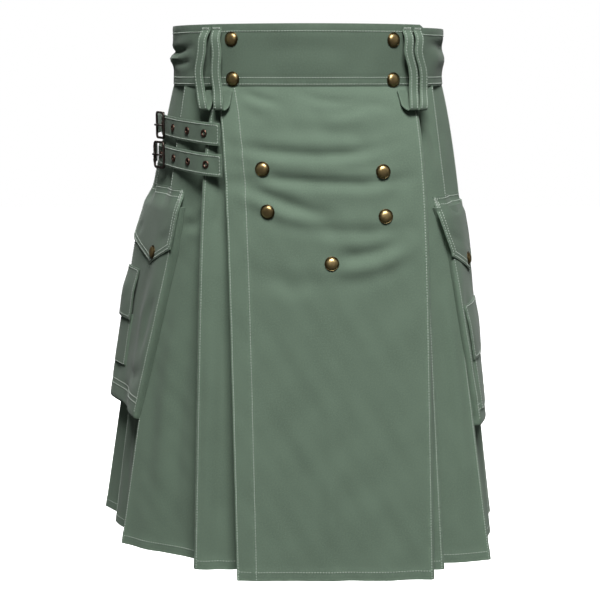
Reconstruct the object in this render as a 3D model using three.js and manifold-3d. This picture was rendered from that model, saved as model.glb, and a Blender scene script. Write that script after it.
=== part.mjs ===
// A cotton utility kilt as it hangs when worn, open at the waist and at the hem. Millimetres, +Z up. The origin
// is the middle of the waistband's height on the body's axis, and the front faces -Y. "Right" and "left" are the
// wearer's, so the right side lies at -X.
import * as THREE from "three";
import { mergeVertices } from "three/addons/utils/BufferGeometryUtils.js";
import Module from "manifold-3d";

const wasm = await Module();
wasm.setup();

// Heights
const BAND_TOP = 33;
const BAND_BOTTOM = -33;
const HEM = -577;
const SEAM = 0.3; // left between pieces that are sewn together

// Waist oval
const WAIST_HALF_WIDTH = 155;
const WAIST_HALF_DEPTH = 116;

// Cloth
const CLOTH_WALL = 1.2;
const BAND_WALL = 2.6;
const STRIP_WALL = 1.6; // belt loops, straps and flaps, folded double
// How each line falls from the waist to the hem. swing: the share of its spread that it gains over the belly, hip
// or seat, within a short drop; the rest comes evenly down to the hem.
const FRONT_SWING = 0.5;
const SWING_DROP = 0.12;

// Pleat layers, from one cloth to the next
const LAYER_WAIST = 2.2;
const LAYER_HEM = 6;
const PLEAT_DEPTH = 28; // how far each hidden fold lies in front of its stitched fold
const FACE_BOW = 3; // how far a pleat's face swells at the hem

// The apron's two edges, at the waist in degrees from the front centre, and at the hem
const APRON_FREE_EDGE = { angle: -40.2, x: -79.5, y: -159 };
const APRON_FOLD = { angle: 47.8, x: 140.6, y: -156 };
const UNDER_APRON_END = { angle: 24, x: 72, y: -145 };
const APRON_BOW = 2.5;

// One row for each knife pleat, from the apron to the back. angle: its stitched fold on the waist oval, in degrees
// from the front centre. tuck: how deep that fold lies under the apron at the waist. x and y: the fold at the
// hem. step: how far its face lies behind the fold before it, at the hem. swing: see above.
const RIGHT_PLEATS = [
  { angle: 41.6, tuck: 2.2, x: -130, y: -126, step: 34, swing: FRONT_SWING },
  { angle: 63.7, tuck: 0, x: -225, y: -43, step: 28, swing: 0 },
  { angle: 84.0, tuck: 0, x: -243, y: 34, step: 28, swing: 0.1 },
  { angle: 103.0, tuck: 0, x: -264, y: 90, step: 27, swing: 0.16 },
  { angle: 122.0, tuck: 0, x: -243, y: 150, step: 26, swing: 0.18 },
  { angle: 141.0, tuck: 0, x: -183, y: 187, step: 27, swing: 0.24 },
  { angle: 160.0, tuck: 0, x: -106, y: 203, step: 27, swing: 0.28 },
  { angle: 178.6, tuck: 0, x: -28, y: 208, step: 27, swing: 0.3 },
];
const LEFT_PLEATS = [
  { angle: 49.4, tuck: 4.4, x: 155, y: -127, step: 28, swing: 0.2 },
  { angle: 64.6, tuck: 0, x: 213, y: -97, step: 19, swing: 0 },
  { angle: 82.0, tuck: 0, x: 226, y: -5, step: 28, swing: 0.14 },
  { angle: 101.5, tuck: 0, x: 237, y: 70, step: 27, swing: 0.12 },
  { angle: 121.0, tuck: 0, x: 222, y: 132, step: 26, swing: 0.19 },
  { angle: 141.0, tuck: 0, x: 170, y: 178, step: 27, swing: 0.24 },
  { angle: 160.0, tuck: 0, x: 96, y: 198, step: 27, swing: 0.28 },
  { angle: 178.6, tuck: 0, x: 16, y: 206, step: 27, swing: 0.3 },
];
// Shares of the drop from band to hem at which the cloth's sections are cut
const LEVELS = [0, 0.03, 0.08, 0.17, 0.3, 0.46, 0.65, 0.83, 1];

// Waistband: the front length laps proud of the back length
const BAND_FRONT = { from: -43, to: 47.8, proud: 1.6 };
const BAND_BACK_PROUD = 0.9;
const BAND_SEAM_ANGLE = 0.16; // degrees left open at each join

// Belt loops: strips sewn at the top of the band, hanging free of it and turned back under its lower edge
const LOOP_WIDTH = 12.2;
// The angle of each loop's middle line at the heights below, and of the end that is turned back
const LOOP_HEIGHTS = [30, 2, -18, -38, -58.5];
const LOOPS = {
  right_1: { angles: [-45.2, -45.4, -46.8, -45.1, -42.1], back: -42.1 },
  right_2: { angles: [-39.2, -37.4, -37.7, -36.3, -34.8], back: -33.6 },
  left_1: { angles: [42.9, 41.7, 43.9, 43.2, 41], back: 39.4 },
  left_2: { angles: [49.3, 47.4, 49.8, 49.5, 45.6], back: 45.6 },
  back_1: { angles: [-176.4, -177, -176.6, -176.2, -176], back: -176 },
  back_2: { angles: [176.4, 175.9, 176.3, 176.6, 176.8], back: 176.8 },
};
const LOOP_LEAN = 1.12; // its lower end leans out with the skirt, and a little more
// clear: out from the band's face. z: height
const LOOP_PROFILE = [
  { clear: 0.35, z: 30 },
  { clear: 0.5, z: 26 },
  { clear: 6.3, z: 17 },
  { clear: 8.1, z: 2 },
  { clear: 9.1, z: -18 },
  { clear: 9.3, z: -38 },
  { clear: 8.3, z: -52 },
  { clear: 5.1, z: -58.5 },
  { clear: 2.1, z: -55 },
  { clear: 1.1, z: -46 },
  { clear: 1, z: -38 },
];

// Closing straps at the right hip, measured back along the hip from the apron's free edge
const STRAP_WIDTH = 24.5;
const STRAP_START = 1.2;
const STRAP_END = 138;
const STRAP_OUT = 3.4; // middle of the strap out from the pleats' folds
const STRAPS = { upper: { front: -85, back: -78.6 }, lower: { front: -118.3, back: -112 } };
const STRAP_HOLES = [21, 52, 86, 124];
const HOLE_RADIUS = 2.2;
const BUCKLE = { front: 110, back: 134, halfHeight: 14.5, corner: 5, wire: 1.4, out: 7.7, tilt: 8.5 };
const PRONG_RADIUS = 1;
const TAB = { start: 135.8, end: 169, width: 22, rise: 2.2, out: { upper: 4.9, lower: 3.6 } };

// Snaps: a domed cap on a flat rim
const SNAP_RADIUS = 8;
const SNAP_HEIGHT = 3.6;
const SNAP_RIM = 0.9;
const SNAP_LIFT = 0.35; // from the cloth's face
const BAND_SNAPS = { right_top: [-83.2, 17], right_low: [-82.2, -25.5], left_top: [91.8, 16], left_low: [92.4, -26.5] };
const APRON_SNAPS = {
  right_top: [-49.5, -120.5],
  left_top: [80.2, -123.5],
  right_middle: [-43.9, -166],
  left_middle: [83.2, -171.5],
  low: [25.1, -221.6],
};

// Cargo pockets, laid on the folds of the hip. leads: how far the front edge lies before the second pleat's fold,
// at the flap's top, at the flap's corner and at the bag's bottom. depths: at the front edge, under the flap's tip
// and at the back edge. small: the second pocket on its face, and how far that one's flap stands off.
const POCKETS = {
  right: { top: -148, leads: [33, 30, 2], depths: [4.5, 3, 11], small: { from: 82, to: 120, top: -250, lift: 3.5 } },
  left: { top: -156, leads: [28, 9, -3], depths: [3.4, 3.6, 3.6], small: { from: 8, to: 70, top: -280, lift: 2.2 } },
};
const POCKET_CORNER = -219;
const POCKET_BOTTOM = -421;
const POCKET_WIDTH = 124;
const POCKET_OUT = 0.9; // the bag's back from the folds
const BAG_TOP = -168;
const BAG_HEIGHTS = [BAG_TOP, -190, POCKET_CORNER, -270, -320, -370, POCKET_BOTTOM];
const BAG_OPEN = { up: 5, back: 3 }; // how far its hollow is cut past its top and its back
const BAG_GROWTH = { top: 0.25, corner: 0.9, bottom: 1 }; // shares of the depths, down the bag
const BAG_WALL = 1.6;
const FLAP_CORNER_DROP = 67;
const FLAP_TIP_DROP = 89;
const FLAP_TIP_SHARE = 0.37; // of the flap's width, from the front
const FLAP_MARGIN = 3; // past the bag at each side
const FLAP_CLEAR = 0.8;
const FLAP_RISE = 11; // the height over which the flap comes out from the pleats to the bag
const FLAP_SNAP = { up: 14, clear: 0.8 }; // from the flap's tip and from its face
// The small pocket: drops of its flap's and its bag's sections from its top, gaps behind each, and its depth
const SMALL_POCKET = { flap: [0, 14, 33, 63], bag: [57, 67, 104, 124], gap: 0.7, lidGap: 0.4, depth: 1.5, rise: 30 };

const GREEN = new THREE.MeshStandardMaterial({ color: 0x5f7561, roughness: 0.92 });
const GREEN_TAPE = new THREE.MeshStandardMaterial({ color: 0x596e5b, roughness: 0.92 });
const BRASS = new THREE.MeshStandardMaterial({ color: 0x8a6a34, roughness: 0.38, metalness: 1 });
const DARK_METAL = new THREE.MeshStandardMaterial({ color: 0x3a332c, roughness: 0.42, metalness: 1 });

const kilt = new THREE.Group();
const rad = THREE.MathUtils.degToRad;
const lerp = THREE.MathUtils.lerp;

// Mesh building

function addMesh(name, geometry, material) {
  const mesh = new THREE.Mesh(geometry, material);
  mesh.name = name;
  kilt.add(mesh);
  return mesh;
}

function signedVolume(points, index) {
  let volume = 0;
  for (let i = 0; i < index.length; i += 3) {
    const [a, b, c] = [points[index[i]], points[index[i + 1]], points[index[i + 2]]];
    volume += a.dot(new THREE.Vector3().crossVectors(b, c)) / 6;
  }
  return volume;
}

// A closed wall between two grids of points, each an array of rows of Vector3.
function wallBetween(outer, inner) {
  const rows = outer.length;
  const columns = outer[0].length;
  const points = [...outer.flat(), ...inner.flat()];
  const behind = rows * columns;
  const index = [];
  const quad = (a, b, c, d) => index.push(a, b, c, a, c, d);
  for (let r = 0; r + 1 < rows; r++) {
    for (let c = 0; c + 1 < columns; c++) {
      const k = r * columns + c;
      quad(k, k + 1, k + columns + 1, k + columns);
      quad(behind + k, behind + k + columns, behind + k + columns + 1, behind + k + 1);
    }
  }
  for (let c = 0; c + 1 < columns; c++) {
    const last = (rows - 1) * columns + c;
    quad(c + 1, c, behind + c, behind + c + 1);
    quad(last, last + 1, behind + last + 1, behind + last);
  }
  for (let r = 0; r + 1 < rows; r++) {
    const left = r * columns;
    const right = left + columns - 1;
    quad(left, left + columns, behind + left + columns, behind + left);
    quad(right + columns, right, behind + right, behind + right + columns);
  }
  if (signedVolume(points, index) < 0) index.reverse();
  const geometry = new THREE.BufferGeometry().setFromPoints(points);
  geometry.setIndex(index);
  return geometry;
}

function toSolid(geometry) {
  const bare = geometry.clone();
  bare.deleteAttribute("normal");
  bare.deleteAttribute("uv");
  const merged = mergeVertices(bare, 1e-4);
  return new wasm.Manifold(
    new wasm.Mesh({
      numProp: 3,
      vertProperties: merged.attributes.position.array,
      triVerts: new Uint32Array(merged.index.array),
    }),
  );
}

function fromSolid(solid) {
  const mesh = solid.getMesh();
  const geometry = new THREE.BufferGeometry();
  geometry.setAttribute("position", new THREE.BufferAttribute(mesh.vertProperties, 3));
  geometry.setIndex(new THREE.BufferAttribute(mesh.triVerts, 1));
  return geometry;
}

// Sections in the plan

const inwardOf = (along, side) => new THREE.Vector2(-along.y * side, along.x * side);

// A point on the waist oval, moved inwards. angle: degrees from the front centre, positive to the left side.
function waistPoint(angle, inward) {
  const x = WAIST_HALF_WIDTH * Math.sin(rad(angle));
  const y = -WAIST_HALF_DEPTH * Math.cos(rad(angle));
  const out = new THREE.Vector2(x / WAIST_HALF_WIDTH ** 2, y / WAIST_HALF_DEPTH ** 2).normalize();
  return new THREE.Vector2(x, y).addScaledVector(out, -inward);
}

// Degrees of the waist oval in one millimetre, near an angle.
function degreesPerMm(angle) {
  const speed = Math.hypot(WAIST_HALF_WIDTH * Math.cos(rad(angle)), WAIST_HALF_DEPTH * Math.sin(rad(angle)));
  return 180 / Math.PI / speed;
}

// Moves an open line sideways, with mitred corners.
function offsetLine(line, distance) {
  return line.map((point, i) => {
    const before = line[Math.max(i - 1, 0)];
    const here = line[Math.min(i, line.length - 2)];
    const after = line[Math.min(i + 1, line.length - 1)];
    const first = (i ? point.clone().sub(before) : after.clone().sub(point)).normalize();
    const second = (i < line.length - 1 ? after.clone().sub(point) : point.clone().sub(here)).normalize();
    const n1 = new THREE.Vector2(-first.y, first.x);
    const n2 = new THREE.Vector2(-second.y, second.x);
    const mean = n1.clone().add(n2).normalize();
    return point.clone().addScaledVector(mean, distance / Math.max(mean.dot(n1), 0.6));
  });
}

const share = (z) => (BAND_BOTTOM - SEAM - z) / (BAND_BOTTOM - SEAM - HEM);
const heightAt = (t) => lerp(BAND_BOTTOM - SEAM, HEM, t);

// The line from a point at the waist to a point at the hem, at one level.
function hang(atWaist, atHem, t, swing) {
  return atWaist.clone().lerp(atHem, swing * (1 - Math.exp(-t / SWING_DROP)) + (1 - swing) * t);
}

// A wall of cloth that hangs along a middle line given for each level.
function hangingWall(lineAt, wall) {
  const grids = [wall / 2, -wall / 2].map((distance) =>
    LEVELS.map((t) => offsetLine(lineAt(t), distance).map((p) => new THREE.Vector3(p.x, p.y, heightAt(t)))),
  );
  return wallBetween(grids[0], grids[1]);
}

// One side's folds from the apron's edge to the centre back, with the hem's directions worked out. side is 1 on
// the left and -1 on the right.
function foldsOf(pleats, apronEdge, side, edgeIsFolded, opposite) {
  const edge = { angle: Math.abs(apronEdge.angle), tuck: 0, x: apronEdge.x, y: apronEdge.y, swing: FRONT_SWING };
  const beyond = { ...opposite, angle: 360 - opposite.angle, step: pleats.at(-1).step };
  const folds = [edge, ...pleats, beyond].map((row) => ({ ...row, hem: new THREE.Vector2(row.x, row.y) }));
  for (let i = 1; i < folds.length; i++) {
    const [before, fold] = [folds[i - 1], folds[i]];
    fold.along = i === 1 ? new THREE.Vector2(side, 0) : fold.hem.clone().sub(before.hem).normalize();
    fold.inward = inwardOf(fold.along, side);
    fold.emerge = before.hem.clone().addScaledVector(fold.inward, fold.step);
    fold.face = fold.hem.clone().sub(fold.emerge).normalize();
    fold.approach = i === 1 ? fold.along : before.face;
    fold.approachIn = inwardOf(fold.approach, side);
    fold.hidden = fold.emerge.clone().addScaledVector(fold.approach, -PLEAT_DEPTH);
    fold.under = i === 1 && !edgeIsFolded ? LAYER_WAIST : 2 * LAYER_WAIST;
    const exposed = (fold.angle - before.angle) / degreesPerMm(fold.angle);
    fold.slope = i === 1 ? 0 : (before.tuck + fold.under - fold.tuck) / exposed;
  }
  folds[0].slope = 0;
  return folds;
}

const rightFolds = foldsOf(RIGHT_PLEATS, APRON_FREE_EDGE, -1, false, LEFT_PLEATS.at(-1));
const leftFolds = foldsOf(LEFT_PLEATS, APRON_FOLD, 1, true, RIGHT_PLEATS.at(-1));

// The hidden fold that follows fold i: its turn from the return to the next face, at one level.
function hiddenTurn(folds, side, i, t) {
  const [fold, next] = [folds[i], folds[i + 1]];
  const back = fold.angle - PLEAT_DEPTH * degreesPerMm(fold.angle);
  const depth = fold.tuck + fold.slope * PLEAT_DEPTH + LAYER_WAIST;
  const turn = (LAYER_WAIST / 2) * degreesPerMm(fold.angle);
  const half = LAYER_HEM / 2;
  const hemEnd = next.hidden.clone().addScaledVector(next.approachIn, half);
  const rows = [
    [waistPoint(side * back, depth), next.hidden.clone().addScaledVector(next.approachIn, -half)],
    [
      waistPoint(side * (back - turn), depth + LAYER_WAIST / 2),
      next.hidden.clone().addScaledVector(next.approach, -half),
    ],
    [waistPoint(side * back, depth + LAYER_WAIST), hemEnd],
    [
      waistPoint(side * (back + turn), depth + LAYER_WAIST),
      hemEnd.clone().addScaledVector(next.approach, 2 * SEAM),
    ],
  ];
  return rows.map(([waist, low]) => hang(waist, low, t, fold.swing));
}

// The face that starts after hidden fold i - 1 and ends at stitched fold i, then turns back under it.
function faceAndReturn(folds, side, i, t, startsAtTurn) {
  const [before, fold, next] = [folds[i - 1], folds[i], folds[i + 1]];
  const back = before.angle - PLEAT_DEPTH * degreesPerMm(before.angle);
  const startDepth = before.tuck + before.slope * PLEAT_DEPTH + (startsAtTurn ? 2 : 1) * LAYER_WAIST;
  const underDepth = before.tuck + fold.under;
  const half = LAYER_HEM / 2;
  const shift = startsAtTurn ? half : 0;
  const emerge = fold.emerge.clone().addScaledVector(fold.inward, shift);
  const start = fold.hidden.clone().addScaledVector(fold.approachIn, shift).addScaledVector(fold.approach, 4 * SEAM);
  const startAngle = back + (LAYER_WAIST / 2 + 2 * SEAM) * degreesPerMm(before.angle);
  const reach = fold.hem.clone().sub(emerge).normalize();
  const reachIn = inwardOf(reach, side);
  const turn = (LAYER_WAIST / 2) * degreesPerMm(fold.angle);
  const line = [];
  const add = (angle, depth, hem, swing) => line.push(hang(waistPoint(side * angle, depth), hem, t, swing));
  const bowed = (s) =>
    emerge.clone().lerp(fold.hem, s).addScaledVector(reachIn, -FACE_BOW * Math.sin(Math.PI * s));
  add(startAngle, startDepth, start, before.swing);
  add((startAngle + before.angle) / 2, (startDepth + underDepth) / 2, start.clone().lerp(emerge, 0.5), before.swing);
  add(before.angle, underDepth, emerge, before.swing);
  for (const s of [0.3, 0.65]) {
    const swing = lerp(before.swing, fold.swing, s);
    add(lerp(before.angle, fold.angle - turn, s), lerp(underDepth, fold.tuck, s), bowed(s), swing);
  }
  add(fold.angle - turn, fold.tuck, fold.hem.clone().addScaledVector(reach, -half), fold.swing);
  add(fold.angle, fold.tuck + LAYER_WAIST / 2, fold.hem.clone().addScaledVector(reachIn, half), fold.swing);
  const hemReturn = fold.hem.clone().addScaledVector(reach, -half).addScaledVector(reachIn, LAYER_HEM);
  add(fold.angle - turn, fold.tuck + LAYER_WAIST, hemReturn, fold.swing);
  const hemTurn = next.hidden.clone().addScaledVector(next.approachIn, -half);
  const returnEnd = fold.angle - PLEAT_DEPTH * degreesPerMm(fold.angle);
  add(
    lerp(fold.angle - turn, returnEnd, 0.5),
    fold.tuck + LAYER_WAIST + fold.slope * PLEAT_DEPTH * 0.5,
    hemReturn.clone().lerp(hemTurn, 0.5),
    fold.swing,
  );
  return line;
}

// Skirt panels

function buildPleats(label, folds, side, firstStartsAtTurn) {
  for (let i = 1; i + 1 < folds.length; i++) {
    const lineAt = (t) => [
      ...faceAndReturn(folds, side, i, t, i > 1 || firstStartsAtTurn),
      ...hiddenTurn(folds, side, i, t),
    ];
    addMesh(`${label}_pleat_${i}`, hangingWall(lineAt, CLOTH_WALL), GREEN);
  }
}

// The cloth under the two last folds, across the centre back.
function buildUnderlay() {
  const lineAt = (t) => {
    const ends = [
      [rightFolds, -1],
      [leftFolds, 1],
    ].map(([folds, side]) => {
      const [fold, beyond] = [folds.at(-2), folds.at(-1)];
      const back = fold.angle - (PLEAT_DEPTH - LAYER_WAIST / 2 - 2 * SEAM) * degreesPerMm(fold.angle);
      const depth = fold.tuck + fold.slope * PLEAT_DEPTH + 2 * LAYER_WAIST;
      const emerge = beyond.emerge.clone().addScaledVector(beyond.inward, LAYER_HEM / 2);
      const start = beyond.hidden.clone();
      start.addScaledVector(beyond.approachIn, LAYER_HEM / 2).addScaledVector(beyond.approach, 4 * SEAM);
      return [
        hang(waistPoint(side * back, depth), start, t, fold.swing),
        hang(
          waistPoint(side * (back + fold.angle) * 0.5, depth / 2 + LAYER_WAIST),
          start.clone().lerp(emerge, 0.5),
          t,
          fold.swing,
        ),
        hang(waistPoint(side * fold.angle, 2 * LAYER_WAIST), emerge, t, fold.swing),
      ];
    });
    return [...ends[0], ...ends[1].reverse()];
  };
  addMesh("centre_back_underlay", hangingWall(lineAt, CLOTH_WALL), GREEN);
}

// The front panel's middle line, from its free edge to its fold, as shares of its width.
function apronPoint(s, t, inward = 0) {
  const waist = waistPoint(lerp(APRON_FREE_EDGE.angle, APRON_FOLD.angle, s), inward);
  const hem = new THREE.Vector2(lerp(APRON_FREE_EDGE.x, APRON_FOLD.x, s), lerp(APRON_FREE_EDGE.y, APRON_FOLD.y, s));
  hem.y += inward - APRON_BOW * Math.sin(Math.PI * s);
  return hang(waist, hem, t, FRONT_SWING);
}

function buildOverApron() {
  const across = 10;
  const fold = leftFolds[0];
  const lineAt = (t) => {
    const line = [];
    for (let k = 0; k < across; k++) line.push(apronPoint(k / across, t));
    const turn = (LAYER_WAIST / 2) * degreesPerMm(fold.angle);
    const half = LAYER_HEM / 2;
    const hem = (dx, dy) => new THREE.Vector2(fold.x + dx, fold.y + dy);
    const add = (angle, inward, low) => line.push(hang(waistPoint(angle, inward), low, t, fold.swing));
    add(fold.angle - turn, 0, hem(-half, 0));
    add(fold.angle, LAYER_WAIST / 2, hem(0, half));
    add(fold.angle - turn, LAYER_WAIST, hem(-half, LAYER_HEM));
    return [...line, ...hiddenTurn(leftFolds, 1, 0, t)];
  };
  addMesh("over_apron", hangingWall(lineAt, CLOTH_WALL), GREEN);
}

function buildUnderApron() {
  const first = rightFolds[1];
  const edge = rightFolds[0];
  const across = 6;
  const from = edge.angle - (PLEAT_DEPTH + SEAM - LAYER_WAIST / 2 - 2 * SEAM) * degreesPerMm(edge.angle);
  const hemFrom = first.emerge.clone().addScaledVector(first.along, 3 * SEAM - PLEAT_DEPTH);
  const hemTo = new THREE.Vector2(UNDER_APRON_END.x, UNDER_APRON_END.y);
  const lineAt = (t) => {
    const line = [];
    for (let k = 0; k <= across; k++) {
      const s = k / across;
      const waist = waistPoint(lerp(-from, UNDER_APRON_END.angle, s), LAYER_WAIST);
      line.push(hang(waist, hemFrom.clone().lerp(hemTo, s), t, FRONT_SWING));
    }
    return line;
  };
  addMesh("under_apron", hangingWall(lineAt, CLOTH_WALL), GREEN);
}

// Waistband

function buildBand(name, from, to, proud, step) {
  const columns = Math.ceil((to - from) / step);
  const ring = (inward) =>
    [BAND_BOTTOM, 0, BAND_TOP].map((z) =>
      Array.from({ length: columns + 1 }, (_, k) => {
        const p = waistPoint(lerp(from, to, k / columns), inward);
        return new THREE.Vector3(p.x, p.y, z);
      }),
    );
  addMesh(name, wallBetween(ring(-proud), ring(BAND_WALL - proud)), GREEN_TAPE);
}

// Strips and straps

// A flat strip of cloth along a path of { point, across, out } stations.
function stripWall(stations, width, wall) {
  const side = (distance) =>
    stations.map(({ point, across, out }) =>
      [-width / 2, width / 2].map((w) => point.clone().addScaledVector(across, w).addScaledVector(out, distance)),
    );
  return wallBetween(side(wall / 2), side(-wall / 2));
}

// The angle of a loop's middle line at one station of its profile.
function loopAngle({ angles, back }, station) {
  const { z } = LOOP_PROFILE[station];
  const lowest = LOOP_PROFILE.reduce((best, row, k) => (row.z < LOOP_PROFILE[best].z ? k : best), 0);
  if (station > lowest) return back;
  const k = Math.max(LOOP_HEIGHTS.findIndex((height) => height <= z) - 1, 0);
  const s = THREE.MathUtils.smoothstep(-z, -LOOP_HEIGHTS[k], -LOOP_HEIGHTS[k + 1]);
  return lerp(angles[k], angles[k + 1], s);
}

function buildLoops() {
  for (const [name, loop] of Object.entries(LOOPS)) {
    const top = loop.angles[0];
    const reach = LOOP_WIDTH * degreesPerMm(top) * 0.5;
    const onFront = top + reach > BAND_FRONT.from && top - reach < BAND_FRONT.to;
    const proud = onFront ? BAND_FRONT.proud : BAND_BACK_PROUD;
    const frames = LOOP_PROFILE.map((_, k) => {
      const angle = loopAngle(loop, k);
      const base = waistPoint(angle, 0);
      const ahead = waistPoint(angle + 0.5, 0);
      const along = new THREE.Vector3(ahead.x - base.x, ahead.y - base.y, 0).normalize();
      return { angle, base, along, out: new THREE.Vector3(along.y, -along.x, 0) };
    });
    const points = LOOP_PROFILE.map(({ clear, z }, k) => {
      const { angle, out } = frames[k];
      const flare = Math.max(BAND_BOTTOM - z, 0) * skirtFlareAt(angle, new THREE.Vector2(out.x, out.y));
      return new THREE.Vector2(clear + proud + STRIP_WALL / 2 + flare, z);
    });
    const sides = [STRIP_WALL / 2, -STRIP_WALL / 2].map((distance) =>
      offsetLine(points, distance).map((p, k) =>
        [-LOOP_WIDTH / 2, LOOP_WIDTH / 2].map((w) => {
          const { base, along, out } = frames[k];
          return new THREE.Vector3(base.x, base.y, p.y).addScaledVector(out, p.x).addScaledVector(along, w);
        }),
      ),
    );
    addMesh(`belt_loop_${name}`, wallBetween(sides[0], sides[1]), GREEN_TAPE);
  }
}

// The skirt's outer face at a small share of its drop, for any angle on the waist oval.
function skirtPoint(angle, t) {
  const width = APRON_FOLD.angle - APRON_FREE_EDGE.angle;
  const onApron = (angle - APRON_FREE_EDGE.angle) / width;
  if (onApron >= 0 && onApron <= 1) return apronPoint(onApron, t);
  const folds = angle < 0 ? rightFolds : leftFolds;
  const size = Math.abs(angle);
  const k = folds.findIndex((fold) => fold.angle > size);
  const [a, b] = [folds[k - 1], folds[k]];
  const s = (size - a.angle) / (b.angle - a.angle);
  return hang(waistPoint(angle, 0), a.hem.clone().lerp(b.hem, s), t, lerp(a.swing, b.swing, s));
}

// How far the skirt leans out for each millimetre down, just under the band.
function skirtFlareAt(angle, out) {
  const drop = 0.05;
  const grown = skirtPoint(angle, drop).sub(waistPoint(angle, 0));
  return (LOOP_LEAN * grown.dot(out)) / (drop * (BAND_BOTTOM - HEM));
}

// The smooth line round a hip that rests on the stitched folds, at one height.
function hipCurve(folds, side, z) {
  const t = share(z);
  const points = [0, 1, 2, 3, 4, 5].map((i) => {
    const p = hang(waistPoint(side * folds[i].angle, 0), folds[i].hem, t, folds[i].swing);
    return new THREE.Vector3(p.x, p.y, z);
  });
  const curve = new THREE.CatmullRomCurve3(points, false, "centripetal");
  curve.arcLengthDivisions = 400;
  return curve;
}

// A point along the hip, out from the folds, with its directions.
function hipStation(folds, side, z, distance, outBy) {
  const curve = hipCurve(folds, side, z);
  const u = THREE.MathUtils.clamp(distance / curve.getLength(), 0, 1);
  const along = curve.getTangentAt(u).setZ(0).normalize();
  const out = new THREE.Vector3(along.y * side, -along.x * side, 0);
  return { point: curve.getPointAt(u).addScaledVector(out, outBy), along, out };
}

// Where the second pleat's fold lies along the hip line, from its start.
function secondFoldDistance(folds, side, z) {
  const curve = hipCurve(folds, side, z);
  const lengths = curve.getLengths();
  return lengths[Math.round(((lengths.length - 1) * 2) / 5)];
}

function strapHeight(strap, distance) {
  return lerp(strap.front, strap.back, distance / STRAP_HOLES[3]);
}

function strapStation(strap, distance, outBy) {
  return hipStation(rightFolds, -1, strapHeight(strap, distance), distance, outBy);
}

function buildStraps() {
  const up = new THREE.Vector3(0, 0, 1);
  for (const [name, strap] of Object.entries(STRAPS)) {
    const steps = 24;
    const stations = Array.from({ length: steps + 1 }, (_, k) => {
      const { point, out } = strapStation(strap, lerp(STRAP_START, STRAP_END, k / steps), STRAP_OUT);
      return { point, out, across: up };
    });
    let solid = toSolid(stripWall(stations, STRAP_WIDTH, STRIP_WALL));
    for (const distance of STRAP_HOLES) {
      const { point, out } = strapStation(strap, distance, STRAP_OUT);
      const drill = new THREE.CylinderGeometry(HOLE_RADIUS, HOLE_RADIUS, 4 * STRIP_WALL, 12);
      drill.applyQuaternion(new THREE.Quaternion().setFromUnitVectors(new THREE.Vector3(0, 1, 0), out));
      drill.translate(point.x, point.y, point.z);
      solid = solid.subtract(toSolid(drill));
    }
    addMesh(`strap_${name}`, fromSolid(solid), GREEN_TAPE);
    const tabSteps = 6;
    const tab = Array.from({ length: tabSteps + 1 }, (_, k) => {
      const s = k / tabSteps;
      const outBy = lerp(BUCKLE.out + TAB.rise, TAB.out[name], Math.min(1.6 * s, 1));
      const { point, out } = strapStation(strap, lerp(TAB.start, TAB.end, s), outBy);
      return { point, out, across: up };
    });
    addMesh(`buckle_tab_${name}`, stripWall(tab, TAB.width, STRIP_WALL), GREEN_TAPE);
    buildBuckle(name, strap);
  }
}

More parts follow.
